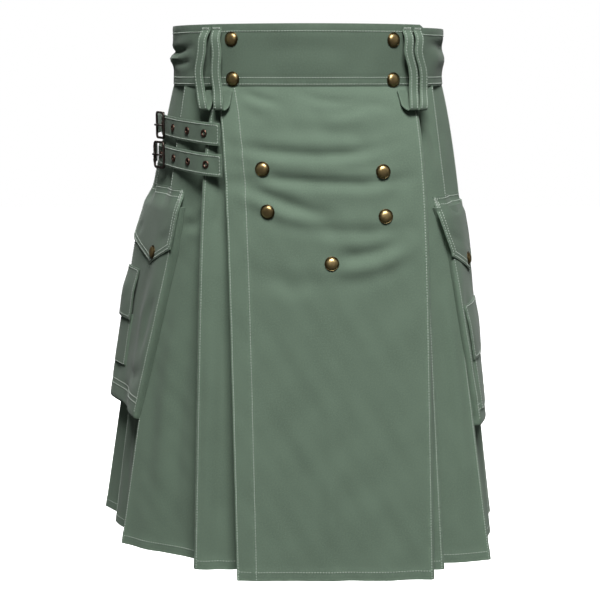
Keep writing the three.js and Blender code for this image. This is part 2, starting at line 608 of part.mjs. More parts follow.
// A wire frame with round corners, and the prong that lies across it.
function buildBuckle(name, strap) {
  const middle = (BUCKLE.front + BUCKLE.back) / 2;
  const half = (BUCKLE.back - BUCKLE.front) / 2;
  const { point: seat, along: flat, out: proud } = strapStation(strap, middle, BUCKLE.out);
  const [cos, sin] = [Math.cos(rad(BUCKLE.tilt)), Math.sin(rad(BUCKLE.tilt))];
  const centre = {
    point: seat,
    along: flat.clone().multiplyScalar(cos).addScaledVector(proud, sin),
    out: proud.clone().multiplyScalar(cos).addScaledVector(flat, -sin),
  };
  const corners = [
    [1, 1],
    [-1, 1],
    [-1, -1],
    [1, -1],
  ];
  const place = (a, h) => {
    const point = centre.point.clone().addScaledVector(centre.along, a);
    return point.add(new THREE.Vector3(0, 0, h));
  };
  const points = corners.flatMap(([i, j], k) =>
    [0, 0.5, 1].map((s) => {
      const turn = (k + s) * (Math.PI / 2);
      const a = i * (half - BUCKLE.corner) + BUCKLE.corner * Math.cos(turn);
      const h = j * (BUCKLE.halfHeight - BUCKLE.corner) + BUCKLE.corner * Math.sin(turn);
      return place(a, h);
    }),
  );
  const ring = new THREE.CatmullRomCurve3(points, true, "centripetal");
  const steps = 28;
  const sides = 8;
  const rings = Array.from({ length: steps }, (_, k) => {
    const at = ring.getPointAt(k / steps);
    const along = ring.getTangentAt(k / steps);
    const across = new THREE.Vector3().crossVectors(along, centre.out).normalize();
    return Array.from({ length: sides }, (_, j) => {
      const turn = (j / sides) * 2 * Math.PI;
      return at
        .clone()
        .addScaledVector(across, BUCKLE.wire * Math.cos(turn))
        .addScaledVector(centre.out, BUCKLE.wire * Math.sin(turn));
    });
  });
  const index = [];
  for (let k = 0; k < steps; k++) {
    for (let j = 0; j < sides; j++) {
      const [a, b] = [k * sides + j, k * sides + ((j + 1) % sides)];
      const [c, d] = [((k + 1) % steps) * sides + j, ((k + 1) % steps) * sides + ((j + 1) % sides)];
      index.push(a, c, d, a, d, b);
    }
  }
  const all = rings.flat();
  if (signedVolume(all, index) < 0) index.reverse();
  const geometry = new THREE.BufferGeometry().setFromPoints(all);
  geometry.setIndex(index);
  addMesh(`buckle_frame_${name}`, geometry, DARK_METAL);
  const reach = half - BUCKLE.wire - PRONG_RADIUS - SEAM;
  const rise = BUCKLE.wire + PRONG_RADIUS + SEAM;
  const path = new THREE.CatmullRomCurve3([
    place(reach, 0),
    place(reach * 0.3, 0).addScaledVector(centre.out, rise * 0.35),
    place(-half + BUCKLE.wire, 0).addScaledVector(centre.out, rise),
    place(-half - BUCKLE.wire, 0).addScaledVector(centre.out, rise),
  ]);
  const shape = new THREE.Shape().absarc(0, 0, PRONG_RADIUS, 0, 2 * Math.PI);
  const prong = new THREE.ExtrudeGeometry(shape, { steps: 8, curveSegments: 4, extrudePath: path });
  addMesh(`buckle_prong_${name}`, prong, DARK_METAL);
}

// Snaps

function addSnap(name, point, out) {
  const profile = [
    [0, 0],
    [SNAP_RADIUS - 0.4, 0],
    [SNAP_RADIUS, SNAP_RIM / 2],
    [SNAP_RADIUS - 0.6, SNAP_RIM],
    [SNAP_RADIUS * 0.72, SNAP_HEIGHT * 0.66],
    [SNAP_RADIUS * 0.4, SNAP_HEIGHT * 0.93],
    [0, SNAP_HEIGHT],
  ].map(([r, h]) => new THREE.Vector2(r, h));
  const cap = addMesh(`snap_${name}`, new THREE.LatheGeometry(profile, 14), BRASS);
  cap.quaternion.setFromUnitVectors(new THREE.Vector3(0, 1, 0), out);
  cap.position.copy(point).addScaledVector(out, SNAP_LIFT);
}

function buildBandSnaps() {
  for (const [name, [x, z]] of Object.entries(BAND_SNAPS)) {
    const angle = THREE.MathUtils.radToDeg(Math.asin(x / (WAIST_HALF_WIDTH + BAND_FRONT.proud)));
    const base = waistPoint(angle, -BAND_FRONT.proud);
    const out = base.clone().sub(waistPoint(angle, 0)).normalize();
    addSnap(`band_${name}`, new THREE.Vector3(base.x, base.y, z), new THREE.Vector3(out.x, out.y, 0));
  }
}

function buildApronSnaps() {
  for (const [name, [x, z]] of Object.entries(APRON_SNAPS)) {
    const t = share(z);
    let s = 0.5;
    for (let k = 0; k < 20; k++) s -= (apronPoint(s, t).x - x) / 220;
    const at = (ds, dt) => {
      const p = apronPoint(s + ds, t + dt);
      return new THREE.Vector3(p.x, p.y, heightAt(t + dt));
    };
    const point = at(0, 0);
    const across = at(0.02, 0).sub(at(-0.02, 0));
    const down = at(0, 0.02).sub(at(0, -0.02));
    const out = across.cross(down).normalize();
    if (out.y > 0) out.negate();
    addSnap(`apron_${name}`, point.addScaledVector(out, CLOTH_WALL / 2), out);
  }
}

// Cargo pockets

const pocketOn = (side) => (side < 0 ? POCKETS.right : POCKETS.left);

function pocketFront(side, folds, z) {
  const pocket = pocketOn(side);
  const [top, corner, bottom] = pocket.leads;
  const lead =
    z > POCKET_CORNER
      ? lerp(top, corner, (pocket.top - z) / (pocket.top - POCKET_CORNER))
      : lerp(corner, bottom, (POCKET_CORNER - z) / (POCKET_CORNER - POCKET_BOTTOM));
  return secondFoldDistance(folds, side, z) - lead;
}

// A closed block over the hip between two distances along it and two distances out.
function hipBlock(side, folds, heights, from, to, near, far, columns) {
  const grid = (outBy) =>
    heights.map((z) =>
      Array.from({ length: columns + 1 }, (_, k) => {
        const along = lerp(from, to, k / columns);
        return hipStation(folds, side, z, pocketFront(side, folds, z) + along, outBy(z, along)).point;
      }),
    );
  return wallBetween(grid(far), grid(near));
}

// How far the bag's face stands out from its back, at one height and distance from its front edge.
function bagDepth(side, z, along) {
  const [front, middle, back] = pocketOn(side).depths;
  const tip = FLAP_TIP_SHARE * POCKET_WIDTH;
  const depth =
    along < tip
      ? lerp(front, middle, THREE.MathUtils.smoothstep(along, 0, tip))
      : lerp(middle, back, THREE.MathUtils.smoothstep(along, tip, POCKET_WIDTH));
  const grown =
    z > POCKET_CORNER
      ? lerp(BAG_GROWTH.top, BAG_GROWTH.corner, (BAG_TOP - z) / (BAG_TOP - POCKET_CORNER))
      : lerp(BAG_GROWTH.corner, BAG_GROWTH.bottom, (POCKET_CORNER - z) / (POCKET_CORNER - POCKET_BOTTOM));
  return depth * grown;
}

function buildPocket(label, side, folds) {
  const face = (z, along) => POCKET_OUT + bagDepth(side, z, along);
  const outer = hipBlock(side, folds, BAG_HEIGHTS, 0, POCKET_WIDTH, () => POCKET_OUT, face, 8);
  const cutHeights = [BAG_TOP + BAG_OPEN.up, ...BAG_HEIGHTS.slice(1, -1), POCKET_BOTTOM + BAG_WALL];
  const hollow = hipBlock(
    side,
    folds,
    cutHeights,
    BAG_WALL,
    POCKET_WIDTH - BAG_WALL,
    () => POCKET_OUT - BAG_OPEN.back,
    (z, along) => face(z, along) - BAG_WALL,
    8,
  );
  addMesh(`${label}_pocket_bag`, fromSolid(toSolid(outer).subtract(toSolid(hollow))), GREEN);
  const { top } = pocketOn(side);
  const lid = (z, along) => {
    const rise = THREE.MathUtils.smoothstep(-z, -top, -top + FLAP_RISE);
    return POCKET_OUT + Math.max(bagDepth(side, z, along), 0.5) * rise;
  };
  const rows = [0, 0.16, 0.35, 0.6, 0.8, 1];
  const columns = 8;
  const flapGrid = (extra) =>
    rows.map((r) =>
      Array.from({ length: columns + 1 }, (_, k) => {
        const toTip = 1 - Math.abs(1 - (2 * k) / columns);
        const across = k < columns / 2 ? toTip * FLAP_TIP_SHARE : 1 - toTip * (1 - FLAP_TIP_SHARE);
        const z = top - r * lerp(FLAP_CORNER_DROP, FLAP_TIP_DROP, toTip);
        const along = lerp(-FLAP_MARGIN, POCKET_WIDTH + FLAP_MARGIN, across);
        const distance = pocketFront(side, folds, z) + along;
        return hipStation(folds, side, z, distance, lid(z, along) + extra).point;
      }),
    );
  addMesh(`${label}_pocket_flap`, wallBetween(flapGrid(FLAP_CLEAR + STRIP_WALL), flapGrid(FLAP_CLEAR)), GREEN_TAPE);
  buildSnapOnFlap(label, side, folds, lid);
  buildSmallPocket(label, side, folds, face);
}

function buildSnapOnFlap(label, side, folds, lid) {
  const z = pocketOn(side).top - FLAP_TIP_DROP + FLAP_SNAP.up;
  const along = POCKET_WIDTH * FLAP_TIP_SHARE;
  const outBy = lid(z, along) + FLAP_CLEAR + STRIP_WALL + FLAP_SNAP.clear;
  const { point, out } = hipStation(folds, side, z, pocketFront(side, folds, z) + along, outBy);
  addSnap(`${label}_pocket`, point, out);
}

// The second pocket, on the outer face of the first, with its own narrow flap.
function buildSmallPocket(label, side, folds, face) {
  const { from, to, top, lift } = pocketOn(side).small;
  const { gap, lidGap, depth, rise } = SMALL_POCKET;
  const base = (z, along) => face(z, along) + gap;
  const lidBack = (z, along) =>
    base(z, along) + lidGap + lift * THREE.MathUtils.smoothstep(-z, -top, -top + rise);
  const bagHeights = SMALL_POCKET.bag.map((drop) => top - drop);
  const bag = hipBlock(side, folds, bagHeights, from, to, base, (z, along) => base(z, along) + depth, 4);
  addMesh(`${label}_small_pocket`, bag, GREEN);
  const lidWall = hipBlock(
    side,
    folds,
    SMALL_POCKET.flap.map((drop) => top - drop),
    from - FLAP_MARGIN,
    to + FLAP_MARGIN,
    lidBack,
    (z, along) => lidBack(z, along) + STRIP_WALL,
    4,
  );
  addMesh(`${label}_small_flap`, lidWall, GREEN_TAPE);
}

buildBand("waistband_front", BAND_FRONT.from, BAND_FRONT.to, BAND_FRONT.proud, 6);
const backStart = BAND_FRONT.to + BAND_SEAM_ANGLE;
buildBand("waistband_back", backStart, 360 + BAND_FRONT.from - BAND_SEAM_ANGLE, BAND_BACK_PROUD, 9);
buildOverApron();
buildUnderApron();
buildPleats("right", rightFolds, -1, false);
buildPleats("left", leftFolds, 1, true);
buildUnderlay();
buildLoops();
buildStraps();
buildBandSnaps();
buildApronSnaps();
buildPocket("right", -1, rightFolds);
buildPocket("left", 1, leftFolds);

export default kilt;
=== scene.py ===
import math

import bmesh
import bpy
import numpy as np
from bpy.props import FloatProperty, FloatVectorProperty, PointerProperty
from mathutils import Matrix, Vector
from mathutils.bvhtree import BVHTree


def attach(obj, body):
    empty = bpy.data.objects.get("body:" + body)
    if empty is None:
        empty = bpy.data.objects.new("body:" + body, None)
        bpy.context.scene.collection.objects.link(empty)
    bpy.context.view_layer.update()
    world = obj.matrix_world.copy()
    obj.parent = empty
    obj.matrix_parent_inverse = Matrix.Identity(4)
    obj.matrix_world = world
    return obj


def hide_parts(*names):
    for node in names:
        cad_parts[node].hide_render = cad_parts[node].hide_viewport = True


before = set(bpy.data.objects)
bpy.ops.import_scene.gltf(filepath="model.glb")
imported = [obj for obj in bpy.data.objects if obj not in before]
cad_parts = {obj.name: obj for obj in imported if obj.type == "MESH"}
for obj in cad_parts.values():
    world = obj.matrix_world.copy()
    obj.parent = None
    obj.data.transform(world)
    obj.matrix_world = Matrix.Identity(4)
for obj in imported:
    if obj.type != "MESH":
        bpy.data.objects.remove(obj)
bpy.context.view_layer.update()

bl_info = {
    "name": "Utility Kilt",
    "version": (1, 0, 0),
    "blender": (4, 5, 0),
    "location": "3D View > Sidebar > Kilt",
    "description": "Dresses a pleated cotton utility kilt: cloth, stitching, straps, snaps and pockets",
    "category": "Object",
}

MM = 0.001

# The cut of the kilt, in millimetres and degrees, as in its solids
BAND_TOP, BAND_BOTTOM, HEM, SEAM = 33.0, -33.0, -577.0, 0.3
WAIST = np.array([155.0, 116.0])
SWING_DROP, FRONT_SWING = 0.12, 0.5
LAYER_WAIST, LAYER_HEM, PLEAT_DEPTH, FACE_BOW, APRON_BOW = 2.2, 6.0, 28.0, 3.0, 2.5
APRON_FREE_EDGE = {"angle": -40.2, "x": -79.5, "y": -159.0}
APRON_FOLD = {"angle": 47.8, "x": 140.6, "y": -156.0}
UNDER_APRON_END = {"angle": 24.0, "x": 72.0, "y": -145.0}
# angle, tuck, x, y, step, swing
RIGHT_PLEATS = [
    (41.6, 2.2, -130, -126, 34, FRONT_SWING),
    (63.7, 0, -225, -43, 28, 0),
    (84.0, 0, -243, 34, 28, 0.1),
    (103.0, 0, -264, 90, 27, 0.16),
    (122.0, 0, -243, 150, 26, 0.18),
    (141.0, 0, -183, 187, 27, 0.24),
    (160.0, 0, -106, 203, 27, 0.28),
    (178.6, 0, -28, 208, 27, 0.3),
]
LEFT_PLEATS = [
    (49.4, 4.4, 155, -127, 28, 0.2),
    (64.6, 0, 213, -97, 19, 0),
    (82.0, 0, 226, -5, 28, 0.14),
    (101.5, 0, 237, 70, 27, 0.12),
    (121.0, 0, 222, 132, 26, 0.19),
    (141.0, 0, 170, 178, 27, 0.24),
    (160.0, 0, 96, 198, 27, 0.28),
    (178.6, 0, 16, 206, 27, 0.3),
]
BAND_WALL = 2.6
BAND_FRONT = {"from": -43.0, "to": 47.8, "proud": 1.6}
BAND_BACK_PROUD = 0.9
BAND_STITCHES = (25, -24, -31)
LOOP_WIDTH, LOOP_LEAN = 12.2, 1.12
# The angle of each loop's middle line at the heights below, and of the end that is turned back
LOOP_HEIGHTS = (30, 2, -18, -38, -58.5)
LOOPS = {
    "right_1": ((-45.2, -45.4, -46.8, -45.1, -42.1), -42.1),
    "right_2": ((-39.2, -37.4, -37.7, -36.3, -34.8), -33.6),
    "left_1": ((42.9, 41.7, 43.9, 43.2, 41), 39.4),
    "left_2": ((49.3, 47.4, 49.8, 49.5, 45.6), 45.6),
    "back_1": ((-176.4, -177, -176.6, -176.2, -176), -176),
    "back_2": ((176.4, 175.9, 176.3, 176.6, 176.8), 176.8),
}
# Out from the band's face, and height
LOOP_PROFILE = [
    (0.35, 30), (0.5, 26), (6.3, 17), (8.1, 2), (9.1, -18), (9.3, -38), (8.3, -52), (5.1, -58.5),
    (2.1, -55), (1.1, -46), (1, -38),
]
STRAPS = {"upper": (-85.0, -78.6), "lower": (-118.3, -112.0)}
STRAP_WIDTH, STRAP_START, STRAP_END, STRAP_OUT = 24.5, 1.2, 138.0, 3.4
STRAP_HOLES = (21, 52, 86, 124)
# What a strip of tape takes up, and the walls of the finer pieces that lie in that room
STRIP_WALL = 1.6
LOOP_WALL, TAPE_WALL, BAG_WALL, SMALL_BAG_WALL = STRIP_WALL * 1.15, STRIP_WALL * 1.2, 1.5, 1.3
BUCKLE = {
    "front": 110.0, "back": 134.0, "half_height": 14.5, "corner": 5.0, "wire": 1.4, "out": 7.7, "tilt": 8.5,
}
TAB = {"start": 135.8, "end": 169.0, "width": 22.0, "rise": 2.2, "out": {"upper": 4.9, "lower": 3.6}}
SNAP_RADIUS, SNAP_RIM = 8.0, 0.9
BAND_SNAPS = {
    "right_top": (-83.2, 17), "right_low": (-82.2, -25.5), "left_top": (91.8, 16), "left_low": (92.4, -26.5),
}
APRON_SNAPS = {
    "right_top": (-49.5, -120.5), "left_top": (80.2, -123.5), "right_middle": (-43.9, -166),
    "left_middle": (83.2, -171.5), "low": (25.1, -221.6),
}
# leads: how far the front edge lies before the second pleat's fold, at the flap's top, the flap's corner and
# the bag's bottom. depths: at the front edge, under the flap's tip and at the back edge. small: from, to, top
# and lift
POCKETS = {
    -1: {"top": -148.0, "leads": (33, 30, 2), "depths": (4.5, 3, 11), "small": (82, 120, -250, 3.5)},
    1: {"top": -156.0, "leads": (28, 9, -3), "depths": (3.4, 3.6, 3.6), "small": (8, 70, -280, 2.2)},
}
POCKET_CORNER, POCKET_BOTTOM, POCKET_WIDTH = -219.0, -421.0, 124.0
POCKET_OUT, BAG_TOP, BAG_GROWTH = 0.9, -168.0, (0.25, 0.9, 1.0)
FLAP_CORNER_DROP, FLAP_TIP_DROP, FLAP_TIP_SHARE = 67.0, 89.0, 0.37
FLAP_MARGIN, FLAP_CLEAR, FLAP_RISE, FLAP_SNAP_UP = 3.0, 0.8, 11.0, 14.0
SMALL_POCKET = {"flap": 63, "bag": (57, 124), "gap": 0.7, "lid_gap": 0.4, "depth": 1.5, "rise": 30}

# Where the hem and the apron's facing are stitched, from the edge, and a fold from the start of its turn
HEM_TURN, APRON_FACING = 10.0, 22.0
FOLD_STITCH_TOP, FOLD_STITCH_LESS = 1.3, 1.9

# How finely the cloth is meshed
ROW_STEP = 4.0
COLUMN_STEP = 3.6

# The stage, in metres and degrees: place, width, height and share of the key light's power
SOFTBOXES = {
    "front": ((0.3, -3.0, 3.6), 1.7, 1.7, 1.0),
    "left": ((-2.4, -0.9, 0.9), 1.6, 2.0, 0.004),
    "right": ((2.4, -0.9, 0.9), 1.6, 2.0, 0.01),
    "back": ((0, 2.4, 1.4), 2.4, 1.6, 0.3),
}
LIT_POINT = (0, 0, -0.3)
FLOOR_PLACE, FLOOR_SIZE = (0, 1.2, -1.05), 14
SKY_SEEN, SKY_LIGHT = 1.0, 0.07
CAMERA_PLACE, CAMERA_PITCH, SENSOR_WIDTH, FOCAL_SHARE = (-0.0092, -1.5, -0.0164), 10.24, 36, 1271.3 / 600


def smooth(value, low, high):
    """0 below low, 1 above high and a soft step between."""
    s = np.clip((np.asarray(value, float) - low) / (high - low), 0, 1)
    return s * s * (3 - 2 * s)


def waist_point(angle, inward=0.0):
    turn = math.radians(angle)
    point = WAIST * (math.sin(turn), -math.cos(turn))
    out = point / WAIST**2
    return point - inward * out / np.linalg.norm(out)


def degrees_per_mm(angle):
    turn = math.radians(angle)
    return 180 / math.pi / math.hypot(WAIST[0] * math.cos(turn), WAIST[1] * math.sin(turn))


def height_at(t):
    return BAND_BOTTOM - SEAM + (HEM - BAND_BOTTOM + SEAM) * t


def share(z):
    return (BAND_BOTTOM - SEAM - z) / (BAND_BOTTOM - SEAM - HEM)


def hang(waist, low, t, swing):
    """Points down a line of cloth from the waist to the hem, one for each level t."""
    t = np.asarray(t, float)
    grown = swing * (1 - np.exp(-t / SWING_DROP)) + (1 - swing) * t
    return waist + grown[..., None] * (np.asarray(low) - waist)


def unit(vector):
    return vector / np.linalg.norm(vector)


def inward_of(along, side):
    return np.array([-along[1] * side, along[0] * side])


def folds_of(pleats, edge, side, edge_is_folded, opposite):
    """One side's folds from the apron's edge to the centre back, with the directions at the hem."""
    keys = ("angle", "tuck", "x", "y", "step", "swing")
    rows = [dict(edge, angle=abs(edge["angle"]), tuck=0, swing=FRONT_SWING)]
    rows += [dict(zip(keys, row)) for row in pleats]
    beyond = dict(zip(keys, opposite))
    rows.append(dict(beyond, angle=360 - beyond["angle"], step=pleats[-1][4]))
    for row in rows:
        row["hem"] = np.array([row["x"], row["y"]], float)
    rows[0]["slope"] = 0
    for i in range(1, len(rows)):
        before, fold = rows[i - 1], rows[i]
        fold["along"] = np.array([side, 0.0]) if i == 1 else unit(fold["hem"] - before["hem"])
        fold["inward"] = inward_of(fold["along"], side)
        fold["emerge"] = before["hem"] + fold["inward"] * fold["step"]
        fold["face"] = unit(fold["hem"] - fold["emerge"])
        fold["approach"] = fold["along"] if i == 1 else before["face"]
        fold["approach_in"] = inward_of(fold["approach"], side)
        fold["hidden"] = fold["emerge"] - fold["approach"] * PLEAT_DEPTH
        fold["under"] = LAYER_WAIST if i == 1 and not edge_is_folded else 2 * LAYER_WAIST
        exposed = (fold["angle"] - before["angle"]) / degrees_per_mm(fold["angle"])
        fold["slope"] = 0 if i == 1 else (before["tuck"] + fold["under"] - fold["tuck"]) / exposed
    return rows


RIGHT_FOLDS = folds_of(RIGHT_PLEATS, APRON_FREE_EDGE, -1, False, LEFT_PLEATS[-1])
LEFT_FOLDS = folds_of(LEFT_PLEATS, APRON_FOLD, 1, True, RIGHT_PLEATS[-1])
FOLDS = {-1: RIGHT_FOLDS, 1: LEFT_FOLDS}


# Cloth panels


class Panel:
    """The middle surface of a piece of cloth: rows go down, columns go across, all in millimetres.

    first and last are the columns between which its face shows.
    """

    def __init__(self, name, grid, first=0, last=None, out=None):
        self.name = name
        self.grid = np.asarray(grid, float)
        self.first = first
        self.last = self.grid.shape[1] - 1 if last is None else last
        self.flat = self.measure()
        self.turn = 1.0
        normals = self.normals()
        middle = normals[len(self.grid) // 2, (self.first + self.last) // 2]
        centre = self.grid[len(self.grid) // 2, (self.first + self.last) // 2]
        outward = np.array([centre[0], centre[1], 0]) if out is None else np.asarray(out, float)
        if middle @ outward < 0:
            self.turn = -1.0

    def measure(self):
        """Width, length and area of the flat cut, in millimetres."""
        across = np.linalg.norm(np.diff(self.grid, axis=1), axis=2)
        down = np.linalg.norm(np.diff(self.grid, axis=0), axis=2)
        cell = (across[:-1] + across[1:]) / 2 * (down[:, :-1] + down[:, 1:]) / 2
        return across.sum(1).max(), down.sum(0).max(), cell.sum()

    def normals(self):
        across = np.gradient(self.grid, axis=1)
        down = np.gradient(self.grid, axis=0)
        normal = np.cross(across, down)
        return self.turn * normal / np.maximum(np.linalg.norm(normal, axis=2, keepdims=True), 1e-9)

    def arcs(self):
        """Distance across from the first showing column, for every grid point."""
        steps = np.linalg.norm(np.diff(self.grid, axis=1), axis=2)
        arc = np.concatenate([np.zeros((len(self.grid), 1)), np.cumsum(steps, axis=1)], axis=1)
        return arc - arc[:, self.first : self.first + 1]

    def drops(self):
        steps = np.linalg.norm(np.diff(self.grid, axis=0), axis=2)
        return np.concatenate([np.zeros((1, self.grid.shape[1])), np.cumsum(steps, axis=0)], axis=0)

    def push(self, amount):
        """Moves each point out along its normal."""
        self.grid = self.grid + self.normals() * amount[..., None]

    def row_at(self, z):
        """Fractional row at a height, for a panel that hangs down."""
        heights = self.grid[:, (self.first + self.last) // 2, 2]
        return np.interp(-np.asarray(z, float), -heights, np.arange(len(heights)))

    def at(self, row, column, lift=0.0):
        """Points and normals at fractional rows and columns, lifted off the middle surface."""
        row, column = np.broadcast_arrays(np.asarray(row, float), np.asarray(column, float))
        row = np.clip(row, 0, self.grid.shape[0] - 1.001)
        column = np.clip(column, 0, self.grid.shape[1] - 1.001)
        r, c = row.astype(int), column.astype(int)
        u, v = (row - r)[..., None], (column - c)[..., None]
        found = []
        for field in (self.grid, self.normals()):
            top = field[r, c] * (1 - v) + field[r, c + 1] * v
            low = field[r + 1, c] * (1 - v) + field[r + 1, c + 1] * v
            found.append(top * (1 - u) + low * u)
        normal = found[1] / np.linalg.norm(found[1], axis=-1, keepdims=True)
        return found[0] + normal * lift, normal

    def column_at(self, row, distance, from_last=False):
        """Fractional column at a distance across the face, from its first or its last column."""
        arc = self.arcs()[:, self.first : self.last + 6]
        columns = []
        for r, d in zip(*np.broadcast_arrays(np.atleast_1d(row), np.atleast_1d(distance))):
            low = min(int(r), len(arc) - 2)
            here = arc[low] * (1 - (r - low)) + arc[low + 1] * (r - low)
            edge = here[self.last - self.first]
            columns.append(np.interp(edge - d if from_last else d, here, np.arange(len(here))))
        return self.first + np.array(columns)


def crease(across, down, points, width, depth, shoulder=0.3):
    """Height of a soft trough, or of a ridge if depth is negative, along a line drawn on the cloth."""
    points = np.asarray(points, float)
    best = np.full(across.shape, 1e9)
    reached = np.zeros(across.shape)
    lengths = np.linalg.norm(np.diff(points, axis=0), axis=1)
    walked = 0.0
    for start, end, length in zip(points[:-1], points[1:], lengths):
        dx, dz = (end - start) / length
        along = np.clip((across - start[0]) * dx + (down - start[1]) * dz, 0, length)
        away = np.hypot(across - start[0] - along * dx, down - start[1] - along * dz)
        nearer = away < best
        best = np.where(nearer, away, best)
        reached = np.where(nearer, walked + along, reached)
        walked += length
    s = reached / walked
    taper = smooth(s, 0, 0.3) * (1 - smooth(s, 0.7, 1)) * 0.8 + 0.2
    q = best / width
    profile = np.exp(-(q**2)) - shoulder * np.exp(-((q - 1.9) ** 2))
    return -depth * taper * profile


def waves(across, down, seed, shortest, longest, slant, count=7):
    """A few crossing waves, about 1 high in all. slant is how far their crests lean from upright."""
    draw = np.random.RandomState(seed)
    total = np.zeros(across.shape)
    for _ in range(count):
        length = draw.uniform(shortest, longest)
        lean = math.radians(draw.uniform(-slant, slant))
        phase = draw.uniform(0, math.tau)
        total += np.sin(math.tau / length * (across * math.cos(lean) + down * math.sin(lean)) + phase)
    return total / math.sqrt(count)


def levels():
    return np.linspace(0, 1, int((BAND_BOTTOM - HEM) / ROW_STEP) + 2)


def grid_of(lines, t):
    plan = np.stack(lines, axis=1)
    z = np.broadcast_to(height_at(t)[:, None, None], (*plan.shape[:2], 1))
    return np.concatenate([plan, z], axis=2)


def turn_lines(side, angle, depth, hem_centre, reach, inward, t, swing, steps, sign):
    """Columns round a fold of half a layer's radius. sign 1 turns ahead and -1 turns back."""
    half = LAYER_HEM / 2
    turn = LAYER_WAIST / 2 * degrees_per_mm(angle)
    lines = []
    for phi in np.linspace(0, math.pi, steps):
        waist = waist_point(
            side * (angle + sign * turn * math.sin(phi)), depth + LAYER_WAIST / 2 * (1 - math.cos(phi))
        )
        hem = hem_centre + reach * half * math.sin(phi) * sign - inward * half * math.cos(phi)
        lines.append(hang(waist, hem, t, swing))
    return lines


def hidden_lines(folds, side, i, t):
    """The hidden fold after stitched fold i."""
    fold, following = folds[i], folds[i + 1]
    back = fold["angle"] - PLEAT_DEPTH * degrees_per_mm(fold["angle"])
    depth = fold["tuck"] + fold["slope"] * PLEAT_DEPTH + LAYER_WAIST
    lines = turn_lines(
        side, back, depth, following["hidden"], following["approach"], following["approach_in"], t,
        fold["swing"], 5, -1,
    )
    turn = LAYER_WAIST / 2 * degrees_per_mm(fold["angle"])
    end = following["hidden"] + following["approach_in"] * LAYER_HEM / 2 + following["approach"] * 2 * SEAM
    lines.append(hang(waist_point(side * (back + turn), depth + LAYER_WAIST), end, t, fold["swing"]))
    return lines


def fold_and_return(folds, side, i, t, edge_hem, inward):
    """Round stitched fold i and back beneath the face to the hidden fold."""
    fold, following = folds[i], folds[i + 1]
    turn = LAYER_WAIST / 2 * degrees_per_mm(fold["angle"])
    reach = unit(np.array([inward[1], -inward[0]])) * side
    lines = turn_lines(
        side, fold["angle"] - turn, fold["tuck"], edge_hem + inward * LAYER_HEM / 2, reach, inward, t,
        fold["swing"], 6, 1,
    )
    back = fold["angle"] - PLEAT_DEPTH * degrees_per_mm(fold["angle"])
    depth = fold["tuck"] + LAYER_WAIST
    hem_return = edge_hem + inward * LAYER_HEM
    hem_turn = following["hidden"] - following["approach_in"] * LAYER_HEM / 2
    for s in (0.25, 0.5, 0.75):
        waist = waist_point(
            side * (fold["angle"] - turn + (back - fold["angle"] + turn) * s),
            depth + fold["slope"] * PLEAT_DEPTH * s,
        )
        lines.append(hang(waist, hem_return + (hem_turn - hem_return) * s, t, fold["swing"]))
    return lines + hidden_lines(folds, side, i, t)


def pleat_panel(name, folds, side, i, starts_at_turn):
    """A pleat: its hidden start, its face, its stitched fold and the return beneath it."""
    t = levels()
    before, fold = folds[i - 1], folds[i]
    back = before["angle"] - PLEAT_DEPTH * degrees_per_mm(before["angle"])
    start_depth = before["tuck"] + before["slope"] * PLEAT_DEPTH + (2 if starts_at_turn else 1) * LAYER_WAIST
    under_depth = before["tuck"] + fold["under"]
    half = LAYER_HEM / 2
    shift = half if starts_at_turn else 0
    emerge = fold["emerge"] + fold["inward"] * shift
    start = fold["hidden"] + fold["approach_in"] * shift + fold["approach"] * 4 * SEAM
    start_angle = back + (LAYER_WAIST / 2 + 2 * SEAM) * degrees_per_mm(before["angle"])
    reach = unit(fold["hem"] - emerge)
    reach_in = inward_of(reach, side)
    turn = LAYER_WAIST / 2 * degrees_per_mm(fold["angle"])
    lines = []
    for s in np.linspace(0, 1, 5)[:-1]:
        waist = waist_point(
            side * (start_angle + (before["angle"] - start_angle) * s),
            start_depth + (under_depth - start_depth) * s,
        )
        lines.append(hang(waist, start + (emerge - start) * s, t, before["swing"]))
    first = len(lines)
    edge_hem = fold["hem"] - reach * half
    steps = max(int(np.linalg.norm(edge_hem - emerge) / COLUMN_STEP), 8)
    for s in np.linspace(0, 1, steps + 1):
        waist = waist_point(
            side * (before["angle"] + (fold["angle"] - turn - before["angle"]) * s),
            under_depth + (fold["tuck"] - under_depth) * s,
        )
        low = emerge + (edge_hem - emerge) * s - reach_in * FACE_BOW * math.sin(math.pi * s)
        lines.append(hang(waist, low, t, before["swing"] + (fold["swing"] - before["swing"]) * s))
    last = len(lines) - 1
    lines += fold_and_return(folds, side, i, t, edge_hem, reach_in)[1:]
    return Panel(name, grid_of(lines, t), first, last)


def apron_line(s, t, inward=0.0):
    low = np.array([
        APRON_FREE_EDGE["x"] + (APRON_FOLD["x"] - APRON_FREE_EDGE["x"]) * s,
        APRON_FREE_EDGE["y"] + (APRON_FOLD["y"] - APRON_FREE_EDGE["y"]) * s + inward,
    ])
    low[1] -= APRON_BOW * math.sin(math.pi * min(max(s, 0), 1))
    angle = APRON_FREE_EDGE["angle"] + (APRON_FOLD["angle"] - APRON_FREE_EDGE["angle"]) * s
    return hang(waist_point(angle, inward), low, t, FRONT_SWING)


def over_apron_panel():
    t = levels()
    fold = LEFT_FOLDS[0]
    turn = LAYER_WAIST / 2 * degrees_per_mm(fold["angle"])
    edge = 1 - max(turn / (APRON_FOLD["angle"] - APRON_FREE_EDGE["angle"]), LAYER_HEM / 2 / 220)
    steps = int(220 / COLUMN_STEP)
    lines = [apron_line(s, t) for s in np.linspace(0, edge, steps + 1)]
    last = len(lines) - 1
    edge_hem = fold["hem"] - np.array([LAYER_HEM / 2, 0])
    lines += fold_and_return(LEFT_FOLDS, 1, 0, t, edge_hem, np.array([0.0, 1.0]))[1:]
    return Panel("over_apron", grid_of(lines, t), 0, last, out=(0, -1, 0))


